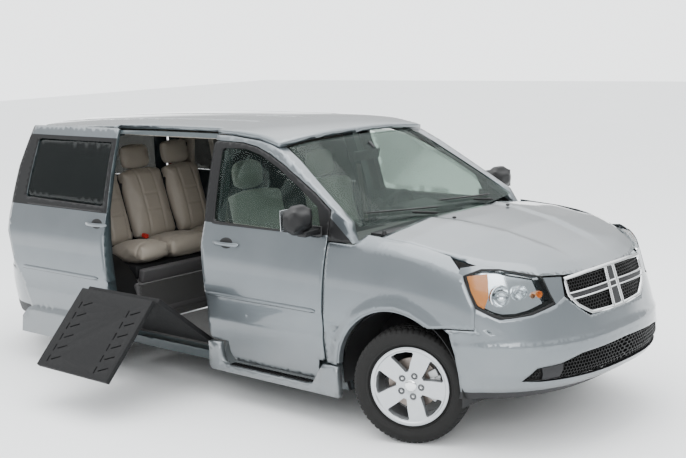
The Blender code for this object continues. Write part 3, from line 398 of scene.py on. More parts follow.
BLACK_GLOSS = Finish("black_frame_gloss", Specular_IOR_Level=0.25)
BLACK_GLOSS.mottled((0.004, 0.004, 0.004), (0.010, 0.010, 0.011), 6, (0.36, 0.50), 180, 0.0002)
# A dark blue-grey coat for jambs, the hood's underside, the door track and other inner and recessed faces:
# painted shade, standing in for the shade that falls in these recesses.
RECESS_SHADE = Finish("recess_painted_shade", Coat_Weight=0.4, Coat_Roughness=0.15)
RECESS_SHADE.mottled((0.020, 0.030, 0.034), (0.050, 0.066, 0.072), 5, (0.28, 0.45), 140, 0.0004)
MOULDED = Finish("moulded_black_plastic", Specular_IOR_Level=0.3)
MOULDED.mottled((0.009, 0.009, 0.010), (0.022, 0.022, 0.024), 12, (0.45, 0.62), 900, 0.0006)
TRIM = Finish("grey_inner_trim")
TRIM.mottled((0.060, 0.058, 0.060), (0.095, 0.092, 0.094), 9, (0.55, 0.72), 1100, 0.0006)
LINER = Finish("beige_inner_trim")
LINER.mottled((0.40, 0.355, 0.295), (0.50, 0.45, 0.385), 7, (0.60, 0.78), 800, 0.0007)
SIDES = ((-1, "right"), (1, "left"))
DOOR_LINES = [level(z) for z in (0.42, 0.575, 0.60, 0.63, 0.68, 0.715, 0.735, 1.188)]
SLIDE_BACK, SLIDE_OUT = 0.87, 0.115
CREASE_LINES = [level(z) for z in (0.575, 0.63, 0.68, 0.735)]
GLASS_LOW, GLASS_HIGH = 1.200, 1.700
QUARTER_BACK, QUARTER_FRONT = -WHEELBASE - 0.665, -WHEELBASE + 0.36
TRACK_BACK = -WHEELBASE + 0.34


def door_finish(p, outside):
    """Paint outside, black round the window, and the dark coat of painted shade on the inner faces below it.
    """
    if outside:
        return 0 if p.z < 1.188 else 1
    return 2 if p.z < 0.44 else 1 if p.z > 1.17 else 2


def no_features(x, z):
    return 0.0


def slid(side):
    """How far back and out the sliding door of a side stands: the right one is open."""
    return (SLIDE_BACK, SLIDE_OUT) if side < 0 else (0.0, 0.0)


for side, name in SIDES:
    lid = "front_door_" + name
    skin(lid + "_skin", lid, lid, "paint", (PAINT, BLACK_GLOSS, RECESS_SHADE), on_side(side_y), door_finish,
         DOOR_LINES, 0.036)
    skin("fender_" + name, "front_fender_" + name, "van_body", "paint", PAINT, on_side(fender_y), None,
         CREASE_LINES, 0.032)
    skin("sill_cover_" + name, "sill_cladding_" + name, "van_body", "paint", PAINT,
         on_side(cladding_y, 0, 0, no_features), None, [level(0.30)], 0.06)

    def sliding_width(x, z):
        return side_y(x, z) if z > 0.422 else cladding_y(x, z)

    # The sliding door's inner faces take the dark coat of painted shade.
    def sliding_finish(p, outside):
        return int(1.188 < p.z < GLASS_HIGH) if outside else 2

    back, out = slid(side)
    skin("sliding_skin_" + name, "sliding_door_" + name, "van_body", "paint", (PAINT, BLACK_GLOSS, RECESS_SHADE),
         on_side(sliding_width, out, back), sliding_finish, DOOR_LINES + [level(GLASS_HIGH)])

    def body_width(x, z):
        recessed = z > GLASS_HIGH and TRACK_BACK < x < split_x(1.712) + 0.012
        recessed = recessed or (z < 0.42 and x > -WHEELBASE) or (x > -0.555 and z < 1.155)
        return None if recessed else side_y(x, z)

    def body_finish(p, outside):
        # Under the fender, over the doorway, low behind the sill and on inner faces, index 2 is the dark coat
        # of painted shade.
        if outside and p.x > -0.62 and p.z < 1.16:
            return 2
        if outside and GLASS_LOW < p.z < GLASS_HIGH and QUARTER_BACK < p.x < QUARTER_FRONT:
            return 1
        if outside and p.z > 1.703 and TRACK_BACK < p.x < split_x(1.712) + 0.012:
            return 2
        if outside and p.z < 0.42 and p.x > -WHEELBASE + 0.44:
            return 2
        deep = side_y(p.x, p.z) - abs(p.y)
        if (outside or deep < 0.10) and p.x > -0.63 and p.z < 1.141 - 0.685 * (p.x + 0.324):
            return 1
        if outside or deep < 0.004 or (p.x > -1.66 and p.z > 1.16 and deep < 0.16):
            return 0
        return 2 if p.z < 1.165 or p.x > -1.66 or deep < 0.10 else 3

    lines = CREASE_LINES + [level(GLASS_LOW), level(GLASS_HIGH)]
    lines += [((QUARTER_BACK, 0, 0), (1, 0, 0)), ((QUARTER_FRONT, 0, 0), (1, 0, 0))]
    lines += [((-0.324, 0, 1.141), (0.685, 0, 1))]
    skin("side_" + name, "body_side_" + name, "van_body", "paint", (PAINT, BLACK_GLOSS, RECESS_SHADE, LINER),
         on_side(body_width), body_finish, lines)


ROOF_RIBS = (-0.36, 0.0, 0.36)
HOOD_FRONT = [(0, 0.822), (0.22, 0.808), (0.40, 0.765), (0.555, 0.70), (0.705, 0.56), (0.80, 0.40)]


def on_roof(p):
    rib = 0.0
    for line in ROOF_RIBS:
        rib -= 0.006 * (1 - ramp_between(abs(p.y - line), 0.004, 0.020)) * ramp_between(-p.x, 1.5, 1.7)
    return Vector((p.x, p.y, roof_z(p.x, p.y) + rib)), p.z - roof_z(p.x, p.y)


def on_hood(p):
    """Two creases fan out towards the windscreen, and the front edge turns down over the lamps."""
    crease = 0.33 - 0.16 * p.x
    away = abs(p.y) - crease
    rise = ramp_between(away, -0.05, 0.0) if away < 0 else 1 - ramp_between(away, 0.0, 0.30)
    proud = 0.011 * rise * (1 - ramp_between(p.x, 0.45, 0.78))
    edge = read_line(HOOD_FRONT, abs(p.y))
    lip = ramp_between(p.x, edge - 0.09, edge)
    away = Vector((p.x + 0.25, p.y, 0)).normalized()
    place = Vector((p.x, p.y, hood_z(p.x, p.y) + proud - 0.022 * lip)) + away * 0.014 * lip
    return place, p.z - hood_z(p.x, p.y)


roof_lines = [((0, line + step, 0), (0, 1, 0)) for line in ROOF_RIBS for step in (-0.02, -0.006, 0.006, 0.02)]
skin("roof_skin", "roof_panel", "van_body", "paint", (PAINT, LINER), on_roof,
     lambda p, outside: int(not outside and abs(p.y) < 0.58 and -3.75 < p.x < -1.35), roof_lines, 0.06)
hood_lines = [((0, s * half, 0), (0.16, s, 0)) for half in (0.33, 0.30) for s in (-1, 1)]
# The hood's underside takes the dark coat of painted shade.
skin("hood_skin", "hood", "hood", "paint", (PAINT, RECESS_SHADE), on_hood,
     lambda p, outside: int(p.z < hood_z(p.x, p.y) - 0.012 and not outside), hood_lines, 0.045)


def on_bumper(p):
    """A lip over the lower intake, and a soft shelf under the grille."""
    place, gap = on_nose(0.0)(p)
    lip = 0.008 * (1 - ramp_between(abs(p.z - 0.415), 0.0, 0.022)) * ramp_between(p.x, 0.30, 0.6)
    shelf = 0.006 * (1 - ramp_between(abs(p.z - 0.655), 0.0, 0.03)) * ramp_between(p.x, 0.30, 0.6)
    if p.z > 0.742 and abs(p.y) > 0.70:
        x = place.x - 0.027 * ramp_between(abs(p.y), 0.74, 0.81)
        place = Vector((x, math.copysign(side_y(x, p.z), p.y), p.z))
    away = Vector((place.x, place.y, 0)).normalized()
    sideways = Vector((0, math.copysign(1, place.y), 0))
    return place + away * (lip + shelf) + sideways * arch_flare(p.x, p.z, 0.0), gap


def bumper_finish(p, outside):
    return 1 if p.z < 0.393 or not outside else 0


skin("front_bumper_skin", "front_bumper", "van_body", "paint", (PAINT, MOULDED), on_bumper, bumper_finish,
     [level(z) for z in (0.393, 0.415, 0.437, 0.60, 0.625, 0.655, 0.685)], 0.032)
skin("rear_bumper_skin", "rear_bumper", "van_body", "paint", (PAINT, MOULDED), on_tail(0.0),
     lambda p, outside: int(p.z < 0.385 or not outside), [level(0.385), level(0.55)], 0.05)
# The gate's inner faces take the dark coat of painted shade.
skin("liftgate_skin", "liftgate", "liftgate", "paint", (PAINT, BLACK_GLOSS, RECESS_SHADE), on_tail(0.0),
     lambda p, outside: (1 if 1.205 < p.z < 1.66 else 0) if outside else 2, [level(1.205), level(1.66)], 0.05)

# --------------------------------------------------------------------- glass
# Laminated screen and toughened side glass, green-tinted in front and dark behind, each bonded or run in a
# rubber channel. Each is a thin pane, laid again on the pressed shape of the body.


def pane(name, tint, clearness):
    """See-through glass: a tinted clear layer under a gloss that grows at a slant."""
    finish = Finish(name, Base_Color=(0.012, 0.016, 0.016), Roughness=0.03)
    clear = finish.node("ShaderNodeBsdfTransparent", {}, {"Color": (*tint, 1)})
    slant = finish.node("ShaderNodeLayerWeight", {}, {"Blend": 0.30}, "Fresnel")
    film = finish.noise(7, 4) * 0.05
    share = slant * 0.5 + film + (1 - clearness)
    glossy = Wire(finish, finish.shader.outputs[0])
    mixed = finish.node("ShaderNodeMixShader", {}, {0: share, 1: clear, 2: glossy})
    finish.plug(finish.tree.nodes["Material Output"].inputs["Surface"], mixed)
    return finish


GREEN_GLASS = pane("green_tinted_glass", (0.86, 0.93, 0.89), 0.96)
SCREEN_GLASS = pane("laminated_screen", (0.86, 0.93, 0.89), 0.96)
DARK_GLASS = pane("dark_tinted_glass", (0.26, 0.26, 0.25), 0.70)


def on_screen(p):
    return Vector((screen_x(p.y, p.z), p.y, p.z)), p.x - screen_x(p.y, p.z)


skin("windshield_pane", "windshield", "van_body", "glass", SCREEN_GLASS, on_screen, None, (), 0.07)
skin("liftgate_pane", "liftgate_glass", "liftgate", "dark_glass", DARK_GLASS, on_tail(-0.004), None, (), 0.07)
for side, name in SIDES:
    skin("front_pane_" + name, "front_door_glass_" + name, "front_door_" + name, "glass", GREEN_GLASS,
         on_side(side_y, -0.006, 0, no_features), None, (), 0.07)
    back, out = slid(side)
    skin("sliding_pane_" + name, "sliding_door_glass_" + name, "van_body", "dark_glass", DARK_GLASS,
         on_side(side_y, out - 0.006, back, no_features), None, (), 0.07)
    skin("quarter_pane_" + name, "quarter_glass_" + name, "van_body", "dark_glass", DARK_GLASS,
         on_side(side_y, -0.004, 0, no_features), None, (), 0.07)

# -------------------------------------------------------------------- wheels
# Seventeen-inch cast wheels with five wide flat spokes round a blank cap, on radial tyres. Each is turned,
# its windows cut between the spokes, and it hides a ventilated disc and its caliper.

ALLOY = Finish("silver_wheel_paint", Coat_Weight=0.7, Coat_Roughness=0.08)
ALLOY.mottled((0.42, 0.44, 0.46), (0.52, 0.54, 0.56), 30, (0.26, 0.36), 1200, 0.0002)
ALLOY.feed(Metallic=0.75)
POCKET = Finish("grey_wheel_pockets")
POCKET.mottled((0.10, 0.105, 0.11), (0.18, 0.185, 0.19), 30, (0.40, 0.55), 900, 0.0004)
RUBBER = Finish("tyre_rubber", Specular_IOR_Level=0.25)
RUBBER.mottled((0.004, 0.004, 0.004), (0.012, 0.0115, 0.011), 25, (0.55, 0.80), 600, 0.0008)
CHROME = Finish("bright_chrome", Metallic=1.0)
CHROME.mottled((0.72, 0.74, 0.75), (0.86, 0.87, 0.88), 12, (0.05, 0.14), 400, 0.0001)
DISC = Finish("machined_iron")
rings = DISC.node("ShaderNodeTexWave", {"wave_type": "RINGS"}, {"Vector": DISC.place, "Scale": 90.0})
DISC.mottled((0.20, 0.17, 0.15), (0.36, 0.31, 0.28), 20, (0.30, 0.50), 500, 0.0003)
DISC.feed(Metallic=0.8)
CASTING = Finish("caliper_casting")
CASTING.mottled((0.42, 0.43, 0.43), (0.60, 0.61, 0.61), 30, (0.40, 0.55), 400, 0.0010)
CASTING.feed(Metallic=0.6)
NUT_CIRCLE = 0.064
SPOKES = [math.radians(67 + 72 * i) for i in range(5)]


def turned(profile, steps, reach=None):
    """A bmesh turned about the upright axis; reach alters a ring's radius at each step."""
    shape = bmesh.new()
    columns = []
    for step in range(steps):
        turn = 2 * math.pi * step / steps
        column = []
        for index, (radius, z) in enumerate(profile):
            r = radius + (reach(index, step) if reach else 0.0)
            column.append(shape.verts.new((r * math.cos(turn), r * math.sin(turn), z)))
        columns.append(column)
    for here, after in zip(columns, columns[1:] + columns[:1]):
        for i in range(len(profile)):
            j = (i + 1) % len(profile)
            shape.faces.new((here[i], after[i], after[j], here[j]))
    bmesh.ops.remove_doubles(shape, verts=shape.verts, dist=1e-5)
    bmesh.ops.recalc_face_normals(shape, faces=shape.faces)
    return shape


def applied(piece, modifier):
    bpy.ops.object.select_all(action="DESELECT")
    bpy.context.view_layer.objects.active = piece
    bpy.ops.object.modifier_apply(modifier=modifier)


def cut_with(piece, cutter):
    """Takes one shape out of another and deletes the cutter."""
    cut = piece.modifiers.new("cut", "BOOLEAN")
    cut.operation = "DIFFERENCE"
    cut.object = cutter
    applied(piece, "cut")
    bpy.data.objects.remove(cutter)


def softened(piece, width, segments=2):
    """Rounds a piece's sharp edges."""
    bevel = piece.modifiers.new("edges", "BEVEL")
    bevel.width = width
    bevel.segments = segments
    bevel.angle_limit = math.radians(35)
    applied(piece, "edges")
    piece.data.set_sharp_from_angle(angle=math.radians(50))


def wheel_face():
    rim = [(0.223, -0.095), (0.223, 0.082), (0.235, 0.086), (0.2345, 0.096), (0.230, 0.0985), (0.217, 0.0975)]
    rim += [(0.211, 0.090), (0.198, 0.090), (0.14, 0.084), (0.095, 0.0785), (0.060, 0.076), (0.045, 0.075)]
    rim += [(0.038, 0.072), (0.0001, 0.072), (0.0001, 0.030), (0.09, 0.034), (0.15, 0.050), (0.197, 0.056)]
    rim += [(0.207, 0.040), (0.207, -0.095)]
    piece = made("wheel_master", turned(rim, 100), (ALLOY, POCKET), 40)
    cutter = bmesh.new()
    outline = [(0.084, -7), (0.084, 7), (0.140, 15.5), (0.196, 20.5), (0.205, 18.5)]
    outline += [(0.207, 8), (0.207, -8), (0.205, -18.5), (0.196, -20.5), (0.140, -15.5)]
    for spoke in SPOKES:
        middle = spoke + math.pi / 5
        centre = Vector((0.155 * math.cos(middle), 0.155 * math.sin(middle), 0))
        lower, upper = [], []
        for radius, degrees in outline:
            turn = middle + math.radians(degrees)
            spot = Vector((radius * math.cos(turn), radius * math.sin(turn), 0))
            for ring, z, shrink in ((lower, 0.0, 0.86), (upper, 0.13, 1.05)):
                ring.append(cutter.verts.new(centre + (spot - centre) * shrink + Vector((0, 0, z))))
        for i in range(len(lower)):
            j = (i + 1) % len(lower)
            cutter.faces.new((lower[i], lower[j], upper[j], upper[i]))
        cutter.faces.new(lower[::-1])
        cutter.faces.new(upper)
        nut = Matrix.Translation((NUT_CIRCLE * math.cos(spoke), NUT_CIRCLE * math.sin(spoke), 0.085))
        bmesh.ops.create_cone(cutter, segments=20, radius1=0.0190, radius2=0.0240, depth=0.05, cap_ends=True,
                              matrix=nut)
    bmesh.ops.recalc_face_normals(cutter, faces=cutter.faces)
    cut_with(piece, made("window_cutter", cutter, POCKET))
    softened(piece, 0.0022)
    for face in piece.data.polygons:
        reach = Vector(face.center[:2]).length
        floor_of_pocket = face.center.z < 0.072 and face.normal.z > 0.5 and reach > 0.04
        face.material_index = int(reach < 0.2075 and (abs(face.normal.z) < 0.55 or floor_of_pocket))
    return piece


def lug_nuts():
    shape = bmesh.new()
    for spoke in SPOKES:
        place = Vector((NUT_CIRCLE * math.cos(spoke), NUT_CIRCLE * math.sin(spoke), 0.066))
        bmesh.ops.create_cone(shape, segments=6, radius1=0.0095, radius2=0.0088, depth=0.018, cap_ends=True,
                              matrix=Matrix.Translation(place))
        bmesh.ops.create_cone(shape, segments=16, radius1=0.0070, radius2=0.004, depth=0.006, cap_ends=True,
                              matrix=Matrix.Translation(place + Vector((0, 0, 0.012))))
    bmesh.ops.recalc_face_normals(shape, faces=shape.faces)
    return made("lug_master", shape, CHROME, 25)


def centre_cap():
    dome = [(0.0345, 0.070), (0.0345, 0.0755), (0.0315, 0.0785), (0.020, 0.0805), (0.0001, 0.0812)]
    dome += [(0.0001, 0.070)]
    return made("cap_master", turned(dome, 48), CHROME, 40)


def tyre():
    """Shoulder blocks and four grooves round the tread, and a rim guard on the wall."""
    wall = [(0.226, 0.080), (0.246, 0.088), (0.252, 0.099), (0.258, 0.1015), (0.263, 0.101), (0.280, 0.1095)]
    wall += [(0.297, 0.1118), (0.300, 0.1105), (0.318, 0.1085), (0.326, 0.103), (0.334, 0.095)]
    wall += [(0.340, 0.085)]
    tread = [(0.343, 0.074), (0.3435, 0.066), (0.336, 0.064), (0.336, 0.058), (0.3445, 0.056), (0.345, 0.030)]
    tread += [(0.337, 0.028), (0.337, 0.020), (0.345, 0.018)]
    half = wall + tread
    profile = half + [(r, -z) for r, z in reversed(half)]
    blocks = set(range(9, 15)) | {len(profile) - 1 - i for i in range(9, 15)}
    middle = set(range(16, 18)) | {len(profile) - 1 - i for i in range(16, 18)}

    def reach(index, step):
        if index in blocks and step % 4 == 0:
            return -0.006
        return -0.004 if index in middle and (step + 2) % 4 == 0 else 0.0

    return made("tyre_master", turned(profile, 240, reach), RUBBER, 32)


def brake_disc():
    disc = [(0.150, -0.012), (0.150, -0.004), (0.148, -0.004), (0.148, 0.002), (0.150, 0.002), (0.150, 0.010)]
    disc += [(0.095, 0.010), (0.088, 0.030), (0.030, 0.030), (0.030, 0.024), (0.080, 0.024), (0.086, -0.012)]
    return made("disc_master", turned(disc, 72), DISC, 30)


def caliper():
    """A floating caliper over the front of the disc, with two lugs and a bridge."""
    shape = bmesh.new()
    for turn, radius, size in ((-28, 0.142, (0.055, 0.05, 0.062)), (28, 0.142, (0.055, 0.05, 0.062)),
                               (0, 0.150, (0.040, 0.120, 0.050)), (-14, 0.128, (0.03, 0.035, 0.072)),
                               (14, 0.128, (0.03, 0.035, 0.072))):
        spin = Matrix.Rotation(math.radians(turn), 4, "Z")
        place = spin @ Matrix.Translation((radius, 0, 0.006)) @ Matrix.Diagonal((*size, 1))
        bmesh.ops.create_cube(shape, size=1, matrix=place)
    bmesh.ops.recalc_face_normals(shape, faces=shape.faces)
    piece = made("caliper_master", shape, CASTING, 30)
    softened(piece, 0.006, 3)
    return piece


MASTERS = {"rim": wheel_face(), "nuts": lug_nuts(), "cap": centre_cap(), "tyre": tyre(), "disc": brake_disc(),
           "caliper": caliper()}
WHEEL_PARTS = {"rim": ("alloy", "wheel"), "nuts": ("chrome", None), "cap": ("chrome", None),
               "tyre": ("rubber", "tyre"), "disc": ("steel", None), "caliper": ("steel", None)}
JOINTS = {joint["name"]: joint for joint in frame["joints"]}
for end in ("front", "rear"):
    for side, name in SIDES:
        low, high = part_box(f"tyre_{end}_{name}")
        centre = (Vector(low) + Vector(high)) / 2
        axis = Vector(JOINTS[f"{end}_wheel_{name}_spin"]["axis"]).normalized()
        outward = axis * (1 if axis.y * side > 0 else -1)
        upward = Vector((0, 0, 1))
        along = upward.cross(outward)
        turn = Matrix((along, upward, outward)).transposed().to_4x4()
        wheel_body = f"{end}_wheel_{name}"
        carrier = f"knuckle_{name}" if end == "front" else "van_body"
        for part, master in MASTERS.items():
            mesh = master.data.copy()
            piece = bpy.data.objects.new(f"{part}_{end}_{name}", mesh)
            bpy.context.scene.collection.objects.link(piece)
            mesh.transform(Matrix.Translation(centre) @ turn)
            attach(piece, carrier if part == "caliper" else wheel_body)
            slot, node = WHEEL_PARTS[part]
            if node:
                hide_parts(f"{node}_{end}_{name}")
for master in MASTERS.values():
    bpy.data.objects.remove(master)

# ---------------------------------------------------------------------- ramp
# Two grit-coated aluminium panels hinged in the middle, folded half way. Six pairs of slots are cut through
# the outer one down each side, and both have eased edges.

GRIT = Finish("black_ramp_grit", Specular_IOR_Level=0.25)
GRIT.mottled((0.004, 0.004, 0.004), (0.013, 0.013, 0.014), 30, (0.62, 0.88), 1600, 0.0022)
OUTER_SLOPE = -47.0


def panel_frame(slope, start):
    """A matrix from a ramp panel's own measures: across, along from its hinge and up off its face."""
    along = Vector((0, -math.cos(math.radians(slope)), math.sin(math.radians(slope))))
    across = Vector((1, 0, 0))
    up = along.cross(across) * (1 if along.cross(across).z > 0 else -1)
    turn = Matrix((across, along, up)).transposed().to_4x4()
    return Matrix.Translation(start) @ turn


outer_low, outer_high = (Vector(p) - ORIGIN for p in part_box("ramp_outer_panel"))
outer_top = Vector((outer_low.x, outer_high.y, outer_high.z))
down_ramp = panel_frame(OUTER_SLOPE, outer_top)


def slab(shape, low, high, place=Matrix()):
    """A box between two corners, in the measures of the place that it stands in."""
    size, middle = Vector(high) - Vector(low), (Vector(high) + Vector(low)) / 2
    block = Matrix.Translation(middle) @ Matrix.Diagonal((*size, 1))
    bmesh.ops.create_cube(shape, size=1, matrix=place @ block)


outer = made("ramp_outer_deck", copied("ramp_outer_panel"), GRIT)
slots = bmesh.new()
lean = Matrix.Rotation(math.radians(-24), 4, "Z")
for column in (0.075, 0.570):
    for row in range(6):
        along = 0.115 + row * 0.083
        slab(slots, (column, along, -0.2), (column + 0.013, along + 0.050, 0.2), down_ramp)
        leaning = Matrix.Translation((column + 0.035, along + 0.028, 0)) @ lean
        slab(slots, (0.0, -0.005, -0.2), (0.085, 0.005, 0.2), down_ramp @ leaning)
bmesh.ops.recalc_face_normals(slots, faces=slots.faces)
cut_with(outer, made("slot_cutter", slots, GRIT))
softened(outer, 0.0015, 2)
seat(outer, "ramp_outer", "ramp", "ramp_outer_panel")
inner = made("ramp_inner_deck", copied("ramp_inner_panel"), GRIT)
softened(inner, 0.0015, 2)
seat(inner, "ramp_inner", "ramp", "ramp_inner_panel")

# ------------------------------------------------------ grilles and headlamps
# A black honeycomb behind a chrome frame and cross, a wide lower intake with fog-lamp blanks, and clear
# lamps over chrome bowls with an amber end. Each follows the nose's curve.

AMBER = Finish("amber_lens", Coat_Weight=0.5)
AMBER.mottled((0.80, 0.20, 0.03), (0.95, 0.38, 0.08), 40, (0.12, 0.25), 300, 0.0010)
HONEYCOMB = Finish("honeycomb_black", Specular_IOR_Level=0.25)
HONEYCOMB.mottled((0.004, 0.004, 0.004), (0.011, 0.011, 0.011), 20, (0.38, 0.55), 500, 0.0004)
LENS = pane("clear_lens", (0.93, 0.95, 0.96), 0.93)
ANGLE_LENGTH = 0.0155
BAR_SECTION = [(-1, 0), (-0.9, 0.6), (-0.45, 1), (0.45, 1), (0.9, 0.6), (1, 0), (0.6, -0.6), (-0.6, -0.6)]


def within(point, outline):
    odd = False
    for (ax, ay), (bx, by) in zip(outline, outline[1:] + outline[:1]):
        if (ay > point[1]) != (by > point[1]) and point[0] < (bx - ax) * (point[1] - ay) / (by - ay) + ax:
            odd = not odd
    return odd


def nose_patch(name, outline, out, thick, finish, longest=0.03):
    """A closed sheet on the nose: its outline in angles and heights, its face out from the skin."""
    shape = bmesh.new()
    flat = [shape.verts.new((a * ANGLE_LENGTH, z, 0)) for a, z in outline]
    shape.faces.new(flat)
    bmesh.ops.triangulate(shape, faces=shape.faces[:])
    divided(shape, longest, 6, lambda e: True)
    back = bmesh.ops.duplicate(shape, geom=shape.verts[:] + shape.edges[:] + shape.faces[:])
    rim = [e for e in shape.edges if e.is_boundary]
    behind = {v for v in back["geom"] if isinstance(v, bmesh.types.BMVert)}
    for vert in shape.verts:
        vert.co = nose_point(vert.co.x / ANGLE_LENGTH, vert.co.y, out - (thick if vert in behind else 0))
    bmesh.ops.bridge_loops(shape, edges=rim)
    bmesh.ops.recalc_face_normals(shape, faces=shape.faces)
    return made(name, shape, finish, 40)


def nose_bar(name, path, half, proud, base, finish, closed=False):
    """A rounded bar along a path of angles and heights on the nose."""
    spots = [Vector((a * ANGLE_LENGTH, z)) for a, z in path]
    count = len(spots)
    rings = []
    for i, spot in enumerate(spots):
        before = spots[i - 1] if i or closed else spot
        after = spots[(i + 1) % count] if i + 1 < count or closed else spot
        run = (after - before).normalized()
        side = Vector((-run.y, run.x))
        ring = []
        for across, out in BAR_SECTION:
            flat = spot + side * half * across
            ring.append(nose_point(flat.x / ANGLE_LENGTH, flat.y, base + out * proud))
        rings.append(ring)
    return lofted(name, rings, finish, 50, closed)


def honeycomb(name, outline, out, deep, cell, finish):
    """Six-sided cells with thin walls, kept where their middles are within the outline."""
    shape = bmesh.new()
    flat = [(a * ANGLE_LENGTH, z) for a, z in outline]
    low = Vector((min(p[0] for p in flat), min(p[1] for p in flat)))
    high = Vector((max(p[0] for p in flat), max(p[1] for p in flat)))
    pitch = cell * math.sqrt(3)
    for row in range(int((high.y - low.y) / (cell * 1.5)) + 2):
        for column in range(int((high.x - low.x) / pitch) + 2):
            spot = low + Vector(((column + 0.5 * (row % 2)) * pitch, row * cell * 1.5))
            if not within(spot, flat):
                continue
            for i in range(6):
                corners = []
                for turn, reach in ((i, 1.0), (i + 1, 1.0), (i + 1, 0.80), (i, 0.80)):
                    angle = math.radians(30 + 60 * turn)
                    corners.append(spot + Vector((math.cos(angle), math.sin(angle))) * cell * reach)
                front = [nose_point(c.x / ANGLE_LENGTH, c.y, out) for c in corners]
                rear = [nose_point(c.x / ANGLE_LENGTH, c.y, out - deep) for c in corners[2:]]
                a, b, c, d = [shape.verts.new(p) for p in front]
                e, f = [shape.verts.new(p) for p in rear]
                shape.faces.new((a, b, c, d))
                shape.faces.new((d, c, e, f))
                shape.faces.new((a, d, f))
                shape.faces.new((b, e, c))
                shape.faces.new((a, f, e, b))
    bmesh.ops.remove_doubles(shape, verts=shape.verts, dist=1e-5)
    bmesh.ops.recalc_face_normals(shape, faces=shape.faces)
    return made(name, shape, finish, 30)


def on_hand(side, outline):
    """An outline of the left of the nose, turned over for the right."""
    return [(side * a, z) for a, z in outline]


def arc_of(points, steps=8):
    """More points along a path, straight between its own."""
    path = []
    for (a0, z0), (a1, z1) in zip(points, points[1:]):
        path += [(a0 + (a1 - a0) * k / steps, z0 + (z1 - z0) * k / steps) for k in range(steps)]
    return path + [points[-1]]


grille_edge = [(21, 0.990), (20.5, 0.90), (17, 0.84), (11.5, 0.786)]
grille_edge = grille_edge + [(0, 0.776)] + [(-a, z) for a, z in reversed(grille_edge)]
grille_edge += [(-10, 1.003), (0, 1.006), (10, 1.003)]
backing = nose_patch("grille_backing", grille_edge, -0.030, 0.010, HONEYCOMB)
seat(backing, "van_body", "black", "grille")
inner_edge = [(a * 0.97, 0.892 + (z - 0.892) * 0.93) for a, z in grille_edge]
seat(honeycomb("grille_mesh", inner_edge, -0.010, 0.014, 0.0115, HONEYCOMB), "van_body", "black")
ring = arc_of(grille_edge + grille_edge[:1], 6)[:-1]
seat(nose_bar("grille_frame", [(a * 0.985, z) for a, z in ring], 0.011, 0.012, -0.004, CHROME, True),
     "van_body", "chrome")
for label, offset in (("upper", 0.017), ("lower", -0.017)):
    across = arc_of([(-20, 0.893 + offset), (0, 0.900 + offset), (20, 0.893 + offset)], 10)
    seat(nose_bar("grille_rail_" + label, across, 0.0055, 0.010, -0.003, CHROME), "van_body", "chrome")
    upright = arc_of([(offset * 78, 0.780), (offset * 62, 1.002)], 8)
    seat(nose_bar("grille_post_" + label, upright, 0.0060, 0.012, -0.003, CHROME), "van_body", "chrome")
centre_rail = arc_of([(-20, 0.893), (0, 0.900), (20, 0.893)], 10)
seat(nose_bar("grille_centre_rail", centre_rail, 0.013, 0.005, -0.006, MOULDED), "van_body", "black")
seat(nose_bar("grille_centre_post", arc_of([(0, 0.780), (0, 1.002)], 8), 0.015, 0.006, -0.006, MOULDED),
     "van_body", "black")

